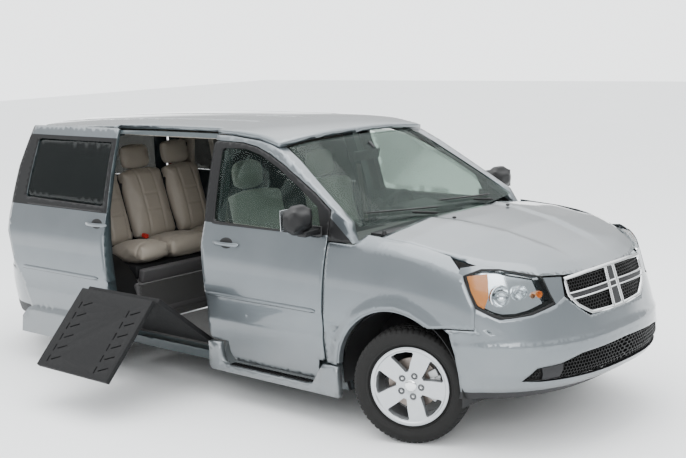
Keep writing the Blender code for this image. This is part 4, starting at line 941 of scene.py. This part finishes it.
intake_edge = [(45.5, 0.463), (40, 0.533), (30, 0.546), (20, 0.582), (0, 0.597)]
intake_edge += [(-a, z) for a, z in reversed(intake_edge[:-1])] + [(-38, 0.455), (0, 0.450), (38, 0.455)]
seat(nose_patch("intake_backing", intake_edge, -0.028, 0.008, HONEYCOMB), "van_body", "black")
mesh_edge = [(27, 0.555), (20, 0.578), (0, 0.592), (-20, 0.578), (-27, 0.555), (-33, 0.465), (0, 0.455)]
mesh_edge += [(33, 0.465)]
seat(honeycomb("intake_mesh", mesh_edge, -0.012, 0.014, 0.0125, HONEYCOMB), "van_body", "black")
LAMP_BOWLS = (("main", 50.5, 0.930, 0.062), ("high", 41, 0.945, 0.040), ("small", 33, 0.925, 0.020))
for side, name in SIDES:
    blank = on_hand(side, ((30, 0.470), (28.5, 0.545), (38, 0.532), (37.5, 0.462)))
    seat(nose_patch("fog_blank_" + name, blank, -0.006, 0.018, MOULDED), "van_body", "black")
    outer_mesh = on_hand(side, ((38.5, 0.462), (38.5, 0.532), (44, 0.475)))
    seat(honeycomb("fog_mesh_" + name, outer_mesh, -0.012, 0.012, 0.0115, HONEYCOMB), "van_body", "black")
    lamp = [(31, 1.020), (40, 1.048), (49, 1.074), (57, 1.076), (64.3, 1.044), (62.7, 0.95), (60.4, 0.874)]
    lamp += [(54, 0.832), (50, 0.817), (44, 0.818), (38, 0.832), (27.5, 0.874)]
    edge = on_hand(side, lamp)
    middle = (side * 46, 0.94)
    corner = on_hand(side, ((22.3, 0.896), (22.0, 1.004), (30.4, 1.014), (26.9, 0.868), (24.5, 0.874)))
    seat(nose_patch("nose_corner_" + name, corner, -0.001, 0.006, PAINT), "van_body", "paint")
    shelf = on_hand(side, ((50, 1.070), (57, 1.070), (64.0, 1.038), (67.0, 1.055), (66.0, 1.084), (58, 1.098),
                           (51, 1.086)))
    seat(nose_patch("lamp_shelf_" + name, shelf, -0.008, 0.004, PAINT), "van_body", "paint")
    tucked = [(middle[0] + (a - middle[0]) * 0.97, middle[1] + (z - middle[1]) * 0.95) for a, z in edge]
    seat(nose_patch("lamp_housing_" + name, tucked, -0.060, 0.006, CHROME), "van_body", "lamp",
         "headlight_" + name)
    seat(nose_patch("lamp_lens_" + name, edge, -0.002, 0.003, LENS, 0.04), "van_body", "lamp")
    seal = arc_of(edge + edge[:1], 4)[:-1]
    seat(nose_bar("lamp_seal_" + name, seal, 0.0055, 0.003, -0.003, HONEYCOMB, True), "van_body", "black")
    amber = on_hand(side, ((63.6, 1.040), (54.5, 1.052), (55.2, 0.93), (57.5, 0.865), (60, 0.885),
                           (62.3, 0.96)))
    seat(nose_patch("turn_lens_" + name, amber, -0.010, 0.006, AMBER), "van_body", "lamp")
    for label, angle, z, size in LAMP_BOWLS:
        bowl = [(size, 0.0), (size * 1.02, 0.006), (size * 0.93, 0.006), (size * 0.75, -0.018)]
        bowl += [(size * 0.35, -0.032), (0.0001, -0.036), (0.0001, -0.044), (size * 0.5, -0.040)]
        bowl += [(size * 0.95, -0.014)]
        shape = turned(bowl, 48)
        bulb = Matrix.Translation((0, 0, -0.016))
        bmesh.ops.create_uvsphere(shape, u_segments=16, v_segments=10, radius=size * 0.24, matrix=bulb)
        face = Vector((0.93, 0.36 * side, 0.0)).normalized()
        turn = face.to_track_quat("Z", "Y").to_matrix().to_4x4()
        spot = nose_point(side * angle, z, -0.022)
        bmesh.ops.transform(shape, matrix=Matrix.Translation(spot) @ turn, verts=shape.verts)
        bmesh.ops.recalc_face_normals(shape, faces=shape.faces)
        finish = AMBER if label == "small" else CHROME
        seat(made(f"lamp_bowl_{label}_{name}", shape, finish, 40), "van_body", "lamp")

# --------------------------------------------------------------------- seats
# Foam cushions under sewn covers: a split leather rear bench, and two cloth front chairs on plastic bases.
# Each cover swells by cloth simulation over a slightly small form, and its seams are drawn in afterwards.

CUSHION_VOXEL = 0.018
MOST_SWELL = 0.016
SWELL_STEPS = 20
SEAM_DEPTH = 0.0065

LEATHER = Finish("beige_leather", Sheen_Weight=0.1)
creases = LEATHER.node("ShaderNodeTexVoronoi", {}, {"Vector": LEATHER.place, "Scale": 420.0})
LEATHER.mottled((0.36, 0.315, 0.262), (0.44, 0.392, 0.33), 9, (0.42, 0.58), 700, 0.0006)
LEATHER.emboss(creases * 0.6 + LEATHER.noise(60, 3) * 0.8, 0.0009)
CLOTH = Finish("grey_beige_weave", Sheen_Weight=0.35)
warp = CLOTH.node("ShaderNodeTexWave", {"bands_direction": "Y"}, {"Vector": CLOTH.place, "Scale": 260.0})
weft = CLOTH.node("ShaderNodeTexWave", {"bands_direction": "Z"}, {"Vector": CLOTH.place, "Scale": 260.0})
CLOTH.mottled((0.27, 0.28, 0.25), (0.38, 0.385, 0.345), 10, (0.82, 0.95), 500, 0.0005)
CLOTH.emboss(warp * 0.5 + weft * 0.5, 0.0009)


def form(size, place, round_by):
    """A soft block, crowned in the middle with its sides drawn in between the corners."""
    shape = bmesh.new()
    bmesh.ops.create_cube(shape, size=1)
    bmesh.ops.subdivide_edges(shape, edges=shape.edges[:], cuts=13, use_grid_fill=True)
    half = Vector(size) / 2
    for vert in shape.verts:
        p = Vector([2 * c for c in vert.co])
        for axis in range(3):
            others = [p[k] for k in range(3) if k != axis]
            bow = (1 - others[0] ** 2) * (1 - others[1] ** 2)
            vert.co[axis] = p[axis] * (half[axis] - round_by * 0.5 + round_by * 0.7 * bow)
        core = Vector([max(-half[k] + round_by, min(half[k] - round_by, vert.co[k])) for k in range(3)])
        away = vert.co - core
        if away.length > round_by:
            vert.co = core + away.normalized() * round_by
    bmesh.ops.transform(shape, matrix=place, verts=shape.verts)
    bmesh.ops.recalc_face_normals(shape, faces=shape.faces)
    return shape


def padded(name, size, place, finish, seams, round_by, node=None, slot="leather"):
    """A cushion: its form swollen by simulation, then seams pressed in along planes of its own measures."""
    piece = made(name, form(size, place, round_by), finish, 80)
    bpy.ops.object.select_all(action="DESELECT")
    bpy.context.view_layer.objects.active = piece
    piece.select_set(True)
    skin_mesh = piece.modifiers.new("weave", "REMESH")
    skin_mesh.mode = "VOXEL"
    skin_mesh.voxel_size = CUSHION_VOXEL
    bpy.ops.object.modifier_apply(modifier="weave")
    before = [v.co.copy() for v in piece.data.vertices]
    cloth = piece.modifiers.new("swell", "CLOTH")
    cloth.settings.use_pressure = True
    cloth.settings.uniform_pressure_force = 4.0
    cloth.settings.effector_weights.gravity = 0.0
    for step in range(1, SWELL_STEPS + 1):
        bpy.context.scene.frame_set(step)
    bpy.ops.object.modifier_apply(modifier="swell")
    bpy.context.scene.frame_set(1)
    for vert, rest in zip(piece.data.vertices, before):
        move = vert.co - rest
        vert.co = rest + move * min(1.0, MOST_SWELL / max(move.length, 1e-9))
    finer = piece.modifiers.new("finer", "SUBSURF")
    finer.levels = finer.render_levels = 1
    bpy.ops.object.modifier_apply(modifier="finer")
    back = place.inverted()
    normals = [v.normal.copy() for v in piece.data.vertices]
    for vert, normal in zip(piece.data.vertices, normals):
        own = back @ vert.co
        deep = 0.0
        for axis, at, low, high in seams:
            other = own[1 - axis]
            if low <= other <= high and own.z > -size[2] * 0.2:
                deep = max(deep, SEAM_DEPTH * (1 - ramp_between(abs(own[axis] - at), 0.001, 0.014)))
        vert.co -= normal * deep
    piece.data.shade_smooth()
    return seat(piece, "van_body", slot, *([node] if node else []))


def tilted(x, y, z, lean):
    """A place whose own z looks out of the cushion's face, y across the car and x up along a leaning back."""
    return Matrix.Translation((x, y, z)) @ Matrix.Rotation(math.radians(lean), 4, "Y")


for side, name in SIDES:
    y = side * 0.37
    ribs = [(1, -0.145, -1, 1), (1, 0.145, -1, 1), (0, 0.05, -0.145, 0.145)]
    padded("chair_cushion_" + name, (0.50, 0.49, 0.15), tilted(-1.30, y, 0.648, -6), CLOTH, ribs, 0.05,
           "front_seat_" + name, "cloth")
    padded("chair_back_" + name, (0.70, 0.50, 0.14), tilted(-1.612, y, 1.010, 76), CLOTH,
           [(1, -0.14, -1, 1), (1, 0.14, -1, 1), (0, -0.02, -0.14, 0.14)], 0.05, None, "cloth")
    padded("chair_headrest_" + name, (0.20, 0.27, 0.11), tilted(-1.745, y, 1.435, 84), CLOTH, (), 0.045,
           None, "cloth")
    shape = bmesh.new()
    slab(shape, (-1.60, y - 0.20, 0.312), (-1.14, y + 0.20, 0.36))
    slab(shape, (-1.56, y - 0.235, 0.40), (-1.09, y + 0.235, 0.575))
    slab(shape, (-1.50, y - 0.19, 0.35), (-1.20, y + 0.19, 0.42))
    for post in (-0.06, 0.06):
        rod = Matrix.Translation((-1.745, y + post, 1.315)) @ Matrix.Rotation(math.radians(-8), 4, "Y")
        bmesh.ops.create_cone(shape, segments=12, radius1=0.006, radius2=0.006, depth=0.09, cap_ends=True,
                              matrix=rod)
    bmesh.ops.recalc_face_normals(shape, faces=shape.faces)
    base = made("chair_base_" + name, shape, MOULDED, 30)
    softened(base, 0.010, 3)
    seat(base, "van_body", "trim")

stitches = [(1, -0.075, -1, 1), (1, 0.075, -1, 1), (0, 0.07, -0.075, 0.075), (0, -0.06, -0.075, 0.075)]
for label, low, high in (("right", -0.545, -0.245), ("middle", -0.235, 0.190), ("left", 0.200, 0.595)):
    y, wide = (low + high) / 2, high - low
    padded("bench_cushion_" + label, (0.42, wide, 0.15), tilted(-2.935, y, 0.785, -4), LEATHER,
           [(0, 0.13, -1, 1), (1, 0.0, -0.21, 0.13)], 0.045, "rear_bench" if label == "right" else None)
for label, low, high in (("right", -0.545, -0.245), ("middle", -0.240, 0.200), ("left", 0.205, 0.595)):
    y, wide = (low + high) / 2, high - low
    padded("bench_back_" + label, (0.60, wide, 0.13), tilted(-3.275, y, 1.085, 72), LEATHER, stitches, 0.045)
    padded("bench_headrest_" + label, (0.20, min(0.28, wide), 0.095), tilted(-3.400, y, 1.450, 80), LEATHER,
           (), 0.035)
shape = bmesh.new()
slab(shape, (-3.16, -0.545, 0.612), (-2.80, 0.595, 0.70))
slab(shape, (-3.36, -0.54, 0.80), (-3.32, 0.59, 1.26))
bmesh.ops.recalc_face_normals(shape, faces=shape.faces)
base = made("bench_base", shape, MOULDED, 30)
softened(base, 0.008, 2)
seat(base, "van_body", "trim")

# --------------------------------------------------------------- cabin trim
# Moulded panels round the cabin: the kick panel under the bench, the dashboard with its hood, vents and
# screen, the steering wheel, pillar trims, mirror and belts.

WEBBING = Finish("belt_webbing", Sheen_Weight=0.2)
weave = WEBBING.node("ShaderNodeTexWave", {}, {"Vector": WEBBING.place, "Scale": 300.0})
WEBBING.mottled((0.30, 0.28, 0.245), (0.40, 0.375, 0.33), 12, (0.75, 0.9), 600, 0.0004)
WEBBING.emboss(weave, 0.0004)
RED = Finish("red_button")
RED.mottled((0.45, 0.02, 0.015), (0.60, 0.035, 0.025), 80, (0.35, 0.5), 600, 0.0002)


def solid(name, blocks, finish, bevel):
    """A piece of rounded blocks, each given by its low and high corner and a tilt about y."""
    shape = bmesh.new()
    for low, high, tilt in blocks:
        middle = (Vector(low) + Vector(high)) / 2
        place = Matrix.Translation(middle) @ Matrix.Rotation(math.radians(tilt), 4, "Y")
        slab(shape, Vector(low) - middle, Vector(high) - middle, place)
    bmesh.ops.recalc_face_normals(shape, faces=shape.faces)
    piece = made(name, shape, finish, 30)
    softened(piece, bevel, 3)
    return seat(piece, "van_body", "trim")


solid("bench_kick_panel", [((-2.700, -0.66, 0.32), (-2.655, 0.66, 0.60), -4),
                           ((-2.715, -0.60, 0.60), (-2.66, 0.62, 0.70), 12),
                           ((-2.668, -0.62, 0.36), (-2.640, 0.35, 0.50), -4)], TRIM, 0.012)
solid("instrument_hood", [((-0.93, 0.17, 1.08), (-0.60, 0.58, 1.19), 8),
                          ((-0.90, -0.70, 1.02), (-0.62, -0.20, 1.155), 4),
                          ((-0.915, -0.16, 0.66), (-0.70, 0.15, 1.13), 12)], MOULDED, 0.022)
vents = [((-0.925, y - 0.055, 0.99), (-0.885, y + 0.055, 1.05), 8) for y in (-0.72, -0.24, 0.72)]
solid("dash_vents", vents + [((-0.945, -0.10, 0.86), (-0.885, 0.09, 1.00), 12)], BLACK_GLOSS, 0.004)
wheel_spin = Matrix.Translation((-1.06, 0.37, 1.10)) @ Matrix.Rotation(math.radians(-65), 4, "Y")
rim_ring = [(0.188 + 0.0165 * math.cos(a * math.pi / 6), 0.0165 * math.sin(a * math.pi / 6))
            for a in range(12)]
shape = turned(rim_ring, 72)
for turn in (0, 110, 250):
    spin = Matrix.Rotation(math.radians(turn + 90), 4, "Z")
    slab(shape, (0.04, -0.022, -0.012), (0.180, 0.022, 0.004), spin)
hub = Matrix.Translation((0, 0, -0.008)) @ Matrix.Diagonal((0.075, 0.075, 0.030, 1))
bmesh.ops.create_uvsphere(shape, u_segments=24, v_segments=12, radius=1, matrix=hub)
bmesh.ops.create_cone(shape, segments=20, radius1=0.035, radius2=0.045, depth=0.16, cap_ends=True,
                      matrix=Matrix.Translation((0, 0, 0.09)))
bmesh.ops.transform(shape, matrix=wheel_spin, verts=shape.verts)
bmesh.ops.recalc_face_normals(shape, faces=shape.faces)
seat(made("steering_wheel_rim", shape, MOULDED, 40), "van_body", "trim", "steering_wheel")


def belt(name, route, wide=0.046):
    """Flat webbing laid along a route of spots, each with the way that its width runs."""
    thick = Vector((0.0008, 0, 0))
    rows = []
    for spot, across in route:
        half = Vector(across).normalized() * wide / 2
        rows.append([Vector(spot) + half * s + thick * t for s, t in ((-1, -1), (1, -1), (1, 1), (-1, 1))])
    return seat(lofted(name, rows, WEBBING, 40), "van_body", "trim")


for side, name in SIDES:
    belt("rear_belt_" + name,
         [((-3.30 + 0.02 * k, side * (0.70 + 0.01 * k), 1.62 - 0.14 * k), (1, 0.2, 0)) for k in range(7)])
    belt("front_belt_" + name,
         [((-1.63, side * (0.655 + 0.022 * k), 1.56 - 0.15 * k), (1, 0, 0)) for k in range(7)])
    trim = [((-3.62, side * 0.66 - 0.02, 1.18), (-3.45, side * 0.66 + 0.02, 1.66), 6)]
    solid("pillar_trim_" + name, trim, LINER, 0.014)
    speaker = [((-3.56, side * 0.635 - 0.012, 1.45), (-3.51, side * 0.635 + 0.012, 1.50), 6)]
    solid("pillar_speaker_" + name, speaker, MOULDED, 0.004)
solid("bench_buckle", [((-3.02, -0.30, 0.865), (-2.97, -0.27, 0.895), 10)], RED, 0.003)
solid("cabin_mirror", [((-0.985, -0.13, 1.535), (-0.965, 0.13, 1.60), 12),
                       ((-0.97, -0.012, 1.59), (-0.90, 0.012, 1.645), 40)], MOULDED, 0.006)
solid("roof_lining", [((-3.80, -0.62, 1.700), (-1.35, 0.62, 1.708), 0)], LINER, 0.002)

# -------------------------------------------------------------- side details
# What is fixed to the sides: handles over black ovals of painted shadow, moulding strips over a painted
# shadow line, window seals and black mirrors on the doors, a rolled lip and a liner round each wheel arch,
# and a ribbed tread on each step.

STEP_Y = 0.922

SATIN = Finish("satin_black_trim", Specular_IOR_Level=0.3)
SATIN.mottled((0.004, 0.004, 0.004), (0.010, 0.010, 0.011), 9, (0.36, 0.50), 700, 0.0003)
MIRROR_FACE = Finish("silvered_glass", Metallic=0.95)
MIRROR_FACE.mottled((0.55, 0.58, 0.60), (0.68, 0.71, 0.73), 5, (0.04, 0.09), 200, 0.0001)


def swept(name, spots, half, finish, body, slot):
    """A rounded bar along spots; half gives its half width and half thickness, and thins at both ends."""
    rings = []
    for i, spot in enumerate(spots):
        after, before = spots[min(i + 1, len(spots) - 1)], spots[max(i - 1, 0)]
        run = (after - before).normalized()
        out = Vector((0, math.copysign(1, spot.y), 0)) if abs(run.y) < 0.7 else Vector((1, 0, 0))
        wide = run.cross(out).normalized()
        out = wide.cross(run).normalized()
        thin = 0.45 if i in (0, len(spots) - 1) else 1.0
        ring = []
        for k in range(12):
            turn = math.pi * k / 6
            reach = abs(math.cos(turn)) ** 0.6, abs(math.sin(turn)) ** 0.6
            across = math.copysign(reach[0], math.cos(turn)) * half[0] * thin
            deep = math.copysign(reach[1], math.sin(turn)) * half[1] * thin
            ring.append(spot + wide * across + out * deep)
        rings.append(ring)
    return seat(lofted(name, rings, finish, 45), body, slot)


def beside(side, x, z, out, back=0.0):
    """A spot on a side's skin at x and z, standing out by that much."""
    return Vector((x, side * (side_y(x + back, z) + out), z))


def even(low, high, steps):
    return [low + (high - low) * k / steps for k in range(steps + 1)]


def round_axle(axle, degrees, reach):
    """x and z of a spot that far from an axle, at an angle up from straight ahead."""
    turn = math.radians(degrees)
    return axle + reach * math.cos(turn), AXLE_Z + reach * math.sin(turn)


# Each section round an arch: how far from the axle, then how far out from the skin or from the middle.
LIP_SECTION = [(0.441, -0.034), (0.441, 0.000), (0.444, 0.005), (0.450, 0.007), (0.462, 0.006)]
LIP_SECTION += [(0.476, 0.003), (0.494, -0.002), (0.486, -0.008), (0.452, -0.034)]
LINER_SECTION = [(0.436, 0.905), (0.436, 0.61), (0.440, 0.61), (0.440, 0.905)]
LIPS = ((-WHEELBASE, "rear", 2, 178, side_y), (0.0, "front", 60, 171, fender_y))


def handle(name, side, x, z, out, back, body):
    """A strap handle: a bar that rises from the skin between its two ends, over a flat black oval of painted
    shadow where its cup is.
    """
    shape = bmesh.new()
    middle = beside(side, x, z, out - 0.001, back)
    lean = math.atan2(side_y(x + back, z + 0.03) - side_y(x + back, z - 0.03), 0.06)
    place = Matrix.Translation(middle) @ Matrix.Rotation(-side * lean, 4, "X")
    bmesh.ops.create_uvsphere(shape, u_segments=32, v_segments=12, radius=1,
                              matrix=place @ Matrix.Diagonal((0.062, 0.005, 0.036, 1)))
    # The flat black oval is painted shadow in the handle's cup.
    seat(made("cup_" + name, shape, SATIN, 60), body, "black")
    arc = [beside(side, x + 0.118 * t, z - 0.002, out + 0.004 + 0.030 * (1 - abs(t) ** 2.6), back)
           for t in even(-1, 1, 14)]
    swept("handle_" + name, arc, (0.0125, 0.007), PAINT, body, "paint")


def moulding(name, side, low, high, z, out, back, body):
    path = [beside(side, x, z, out + 0.003, back) for x in even(low, high, 26)]
    swept("moulding_" + name, path, (0.0115, 0.006), PAINT, body, "paint")
    # A thin black bar tucked under the strip: a painted shadow line below it.
    under = [p - Vector((0, 0, 0.0125)) - Vector((0, side * 0.004, 0)) for p in path]
    swept("moulding_gap_" + name, under, (0.0025, 0.003), SATIN, body, "black")


for side, name in SIDES:
    door = "front_door_" + name
    handle("front_" + name, side, -1.405, 1.070, 0.0, 0.0, door)
    moulding("front_" + name, side, -1.560, -0.605, 0.734, 0.0, 0.0, door)
    back, out = slid(side)
    handle("sliding_" + name, side, -1.742 - back, 1.112, out, back, "van_body")
    moulding("sliding_" + name, side, -2.60 - back, -1.70 - back, 0.734, out, back, "van_body")
    belt_line = [beside(side, x, 1.186, 0.002, 0.0) for x in even(-1.560, -0.610, 20)]
    swept("belt_seal_" + name, belt_line, (0.0075, 0.004), SATIN, door, "black")
    rear_line = [beside(side, x - back, 1.200, out + 0.002, back) for x in even(-2.60, -1.70, 20)]
    swept("sliding_belt_seal_" + name, rear_line, (0.0065, 0.004), SATIN, "van_body", "black")
    toe = Matrix.Rotation(side * math.radians(-6), 4, "Z")
    housing = Matrix.Translation((-0.630, side * 1.052, 1.300)) @ toe
    shell = made("mirror_shell_" + name, form((0.135, 0.232, 0.175), housing, 0.058), SATIN, 80)
    seat(shell, door, "black", "mirror_" + name)
    shape = bmesh.new()
    slab(shape, (-0.655, side * 0.965 - 0.075, 1.195), (-0.585, side * 0.965 + 0.075, 1.232))
    slab(shape, (-0.70, side * 0.903 - 0.006, 1.178), (-0.575, side * 0.903 + 0.006, 1.245))
    foot = made("mirror_foot_" + name, shape, SATIN, 30)
    softened(foot, 0.011, 3)
    seat(foot, door, "black")
    shape = bmesh.new()
    slab(shape, (-0.0015, -0.088, -0.062), (0.0015, 0.088, 0.062),
         Matrix.Translation((-0.6985, side * 1.052, 1.300)) @ toe)
    glass = made("mirror_glass_" + name, shape, MIRROR_FACE, 30)
    softened(glass, 0.001, 2)
    seat(glass, door, "chrome")
    for axle, label, low, high, width_at in LIPS:
        rings = []
        for turn in even(low, high, 64):
            ring = [round_axle(axle, turn, reach) for reach, proud in LIP_SECTION]
            rings.append([(x, side * (width_at(x, max(z, 0.30)) + proud), z)
                          for (x, z), (reach, proud) in zip(ring, LIP_SECTION)])
        seat(lofted(f"arch_lip_{label}_{name}", rings, PAINT, 40), "van_body", "paint")
    for axle, label in ((-WHEELBASE, "rear"), (0.0, "front")):
        rings = []
        for turn in even(-8, 188, 40):
            ring = [(*round_axle(axle, turn, reach), y) for reach, y in LINER_SECTION]
            rings.append([(x, side * y, z) for x, z, y in ring])
        seat(lofted(f"arch_liner_{label}_{name}", rings, SATIN, 40), "van_body", "black")
    shape = bmesh.new()
    step = side * STEP_Y
    slab(shape, (-1.40, step - 0.024, 0.262), (-0.70, step + 0.024, 0.272))
    for x in even(-1.38, -0.72, 26):
        slab(shape, (x - 0.004, step - 0.020, 0.270), (x + 0.004, step + 0.020, 0.276))
    seat(made("step_tread_" + name, shape, SATIN, 30), "van_body", "black")

# ----------------------------------------------------- wipers, nozzles, tail
# Pressed wiper arms with rubber blades laid on the windscreen, nozzles in the hood, an antenna base, and the
# tail's lamps, handle and plate with no lettering.


def on_glass(y, z, out):
    return Vector((screen_x(y, z) + out, y, z + out * 0.6))


for label, inner, outer_end, pivot in (("right", -0.12, -0.70, -0.20), ("left", 0.50, -0.06, 0.44)):
    held = outer_end * 0.45 + inner * 0.55
    arm = [on_glass(pivot + (held - pivot) * t, 1.242 + 0.026 * t, 0.020) for t in even(0, 1, 8)]
    swept("wiper_arm_" + label, arm, (0.008, 0.006), SATIN, "van_body", "black")
    blade = [on_glass(y, 1.262 + 0.030 * (inner - y) / (inner - outer_end) + 0.010, 0.012)
             for y in even(inner, outer_end, 18)]
    swept("wiper_blade_" + label, blade, (0.005, 0.008), SATIN, "van_body", "black")
shape = bmesh.new()
for x, y in ((-0.045, -0.29), (-0.045, 0.29)):
    place = Matrix.Translation((x, y, hood_z(x, y) + 0.012)) @ Matrix.Diagonal((0.014, 0.012, 0.008, 1))
    bmesh.ops.create_uvsphere(shape, u_segments=16, v_segments=8, radius=1, matrix=place)
seat(made("washer_nozzles", shape, SATIN, 60), "hood", "black")
shape = bmesh.new()
bmesh.ops.create_cone(shape, segments=20, radius1=0.017, radius2=0.009, depth=0.022, cap_ends=True,
                      matrix=Matrix.Translation((-0.225, -0.742, 1.212)))
seat(made("antenna_base", shape, SATIN, 40), "van_body", "black")

RED_LENS = Finish("red_ribbed_lens", Coat_Weight=1.0, Coat_Roughness=0.03)
ribs = RED_LENS.node("ShaderNodeTexWave", {"bands_direction": "Z"}, {"Vector": RED_LENS.place, "Scale": 60.0})
RED_LENS.mottled((0.30, 0.006, 0.005), (0.48, 0.012, 0.010), 20, (0.10, 0.20), 300, 0.0002)
RED_LENS.emboss(ribs, 0.0008)
CLEAR_LENS = Finish("pale_ribbed_lens", Coat_Weight=1.0, Coat_Roughness=0.03)
CLEAR_LENS.mottled((0.55, 0.55, 0.53), (0.70, 0.70, 0.68), 20, (0.10, 0.20), 300, 0.0002)
PLATE = Finish("blank_plate")
PLATE.mottled((0.66, 0.67, 0.66), (0.76, 0.77, 0.76), 15, (0.35, 0.5), 500, 0.0002)
for side, name in SIDES:
    # The lamps' inner faces take the dark coat of painted shade.
    skin("tail_lens_" + name, "tail_light_" + name, "van_body", "red_lamp", (RED_LENS, CLEAR_LENS, RECESS_SHADE),
         on_tail(0.0), lambda p, outside: int(1.075 < p.z < 1.135), [level(1.075), level(1.135)], 0.04)


def behind(y, z, out):
    """A spot on the tail at y and z, standing out by that much."""
    width = tail_point(90, z, out).y
    across = min(0.999, abs(y) / width)
    angle = math.degrees(math.atan2(across ** (TAIL_POWER / 2), (1 - across ** TAIL_POWER) ** 0.5))
    return tail_point(math.copysign(angle, y or 1.0), z, out)


def across_tail(name, z, reach, half, out, finish, slot):
    """A bar across the tail from one side to the other."""
    rings = []
    for t in even(-1, 1, 24):
        ring = []
        for k in range(8):
            turn = math.pi * k / 4
            ring.append(behind(reach * t, z + half * math.sin(turn), out * (1 + math.cos(turn)) / 2))
        rings.append(ring)
    return seat(lofted(name, rings, finish, 45), "liftgate", slot)


across_tail("gate_handle", 1.000, 0.42, 0.020, 0.008, PAINT, "paint")
across_tail("gate_grip", 0.966, 0.24, 0.008, 0.004, SATIN, "black")
across_tail("rear_plate", 0.860, 0.155, 0.076, 0.004, PLATE, "paint")

# ------------------------------------------------------- pieces left as built
# Pressed and cast pieces whose shape is already right take only their finish: steel below, trim inside.

STEEL = Finish("dull_steel")
STEEL.mottled((0.10, 0.10, 0.10), (0.19, 0.18, 0.17), 14, (0.38, 0.62), 300, 0.0008)
STEEL.feed(Metallic=0.7)
CARPET = Finish("black_carpet", Sheen_Weight=0.3)
CARPET.mottled((0.014, 0.013, 0.013), (0.042, 0.040, 0.039), 40, (0.88, 0.98), 1500, 0.0030)
LEFT_AS_BUILT = {
    "rear_floor": CARPET, "floor_pan": CARPET, "bulkhead": MOULDED, "cowl_panel": MOULDED,
    "engine_block": STEEL, "front_subframe": STEEL, "rear_axle": STEEL, "exhaust": STEEL,
    # The B-pillars take the dark coat of painted shade.
    "knuckle_right": STEEL, "knuckle_left": STEEL, "b_pillar_right": RECESS_SHADE, "b_pillar_left": RECESS_SHADE,
}
for node, piece in frame["nodes"].items():
    if not piece.hide_render:
        piece.data.materials.clear()
        piece.data.materials.append(LEFT_AS_BUILT.get(node, TRIM).material)

# ------------------------------------------------------ camera, floor, light
# A view from the right front, a pale floor and the soft light of an overcast sky.

eye = Vector((5.8824, -5.8939, 2.4074))
ahead = Vector((-0.65461, 0.73767, -0.16531)).normalized()
upright = Vector((-0.08312, 0.14712, 0.98562))
sideways = ahead.cross(upright).normalized()
upright = sideways.cross(ahead)
bpy.ops.object.camera_add(location=eye)
camera = bpy.context.object
camera.rotation_euler = Matrix((sideways, upright, -ahead)).transposed().to_euler()
camera.data.sensor_width = 36
camera.data.lens = 63.69
camera.data.clip_end = 200
bpy.context.scene.camera = camera

bpy.ops.mesh.primitive_plane_add(size=70, location=(0, 0, 0))
floor = bpy.context.object
floor.name = "studio_floor"
PALE_FLOOR = Finish("pale_floor")
PALE_FLOOR.mottled((0.84, 0.85, 0.855), (0.89, 0.90, 0.905), 0.6, (0.75, 0.9), 60, 0.0003)
floor.data.materials.append(PALE_FLOOR.material)


def soft_box(name, place, target, size, power):
    bpy.ops.object.light_add(type="AREA", location=place)
    light = bpy.context.object
    light.name = name
    light.rotation_euler = (Vector(target) - Vector(place)).to_track_quat("-Z", "Y").to_euler()
    light.data.shape = "RECTANGLE"
    light.data.size, light.data.size_y = size
    light.data.energy = power


soft_box("overhead", (0.5, 0.0, 6.5), (0, 0, 0), (9, 6), 420)
soft_box("right_front", (7.5, -7.0, 4.5), (0.5, 0, 0.6), (6, 3), 340)
world = bpy.data.worlds.new("overcast")
world.use_nodes = True
bpy.context.scene.world = world
sky = world.node_tree.nodes
height = sky.new("ShaderNodeSeparateXYZ")
rise = sky.new("ShaderNodeValToRGB")
world.node_tree.links.new(sky.new("ShaderNodeTexCoord").outputs["Generated"], height.inputs[0])
world.node_tree.links.new(height.outputs["Z"], rise.inputs[0])
world.node_tree.links.new(rise.outputs[0], sky["Background"].inputs["Color"])
for at, light in ((0.030, 0.95), (0.075, 0.26), (0.30, 0.34), (0.52, 0.86)):
    rise.color_ramp.elements.new(at).color = (light * 0.97, light * 0.99, light, 1)
rise.color_ramp.elements[0].color = (0.92, 0.94, 0.95, 1)
rise.color_ramp.elements[-1].color = (0.97, 0.99, 1.0, 1)
sky["Background"].inputs["Strength"].default_value = 3.0
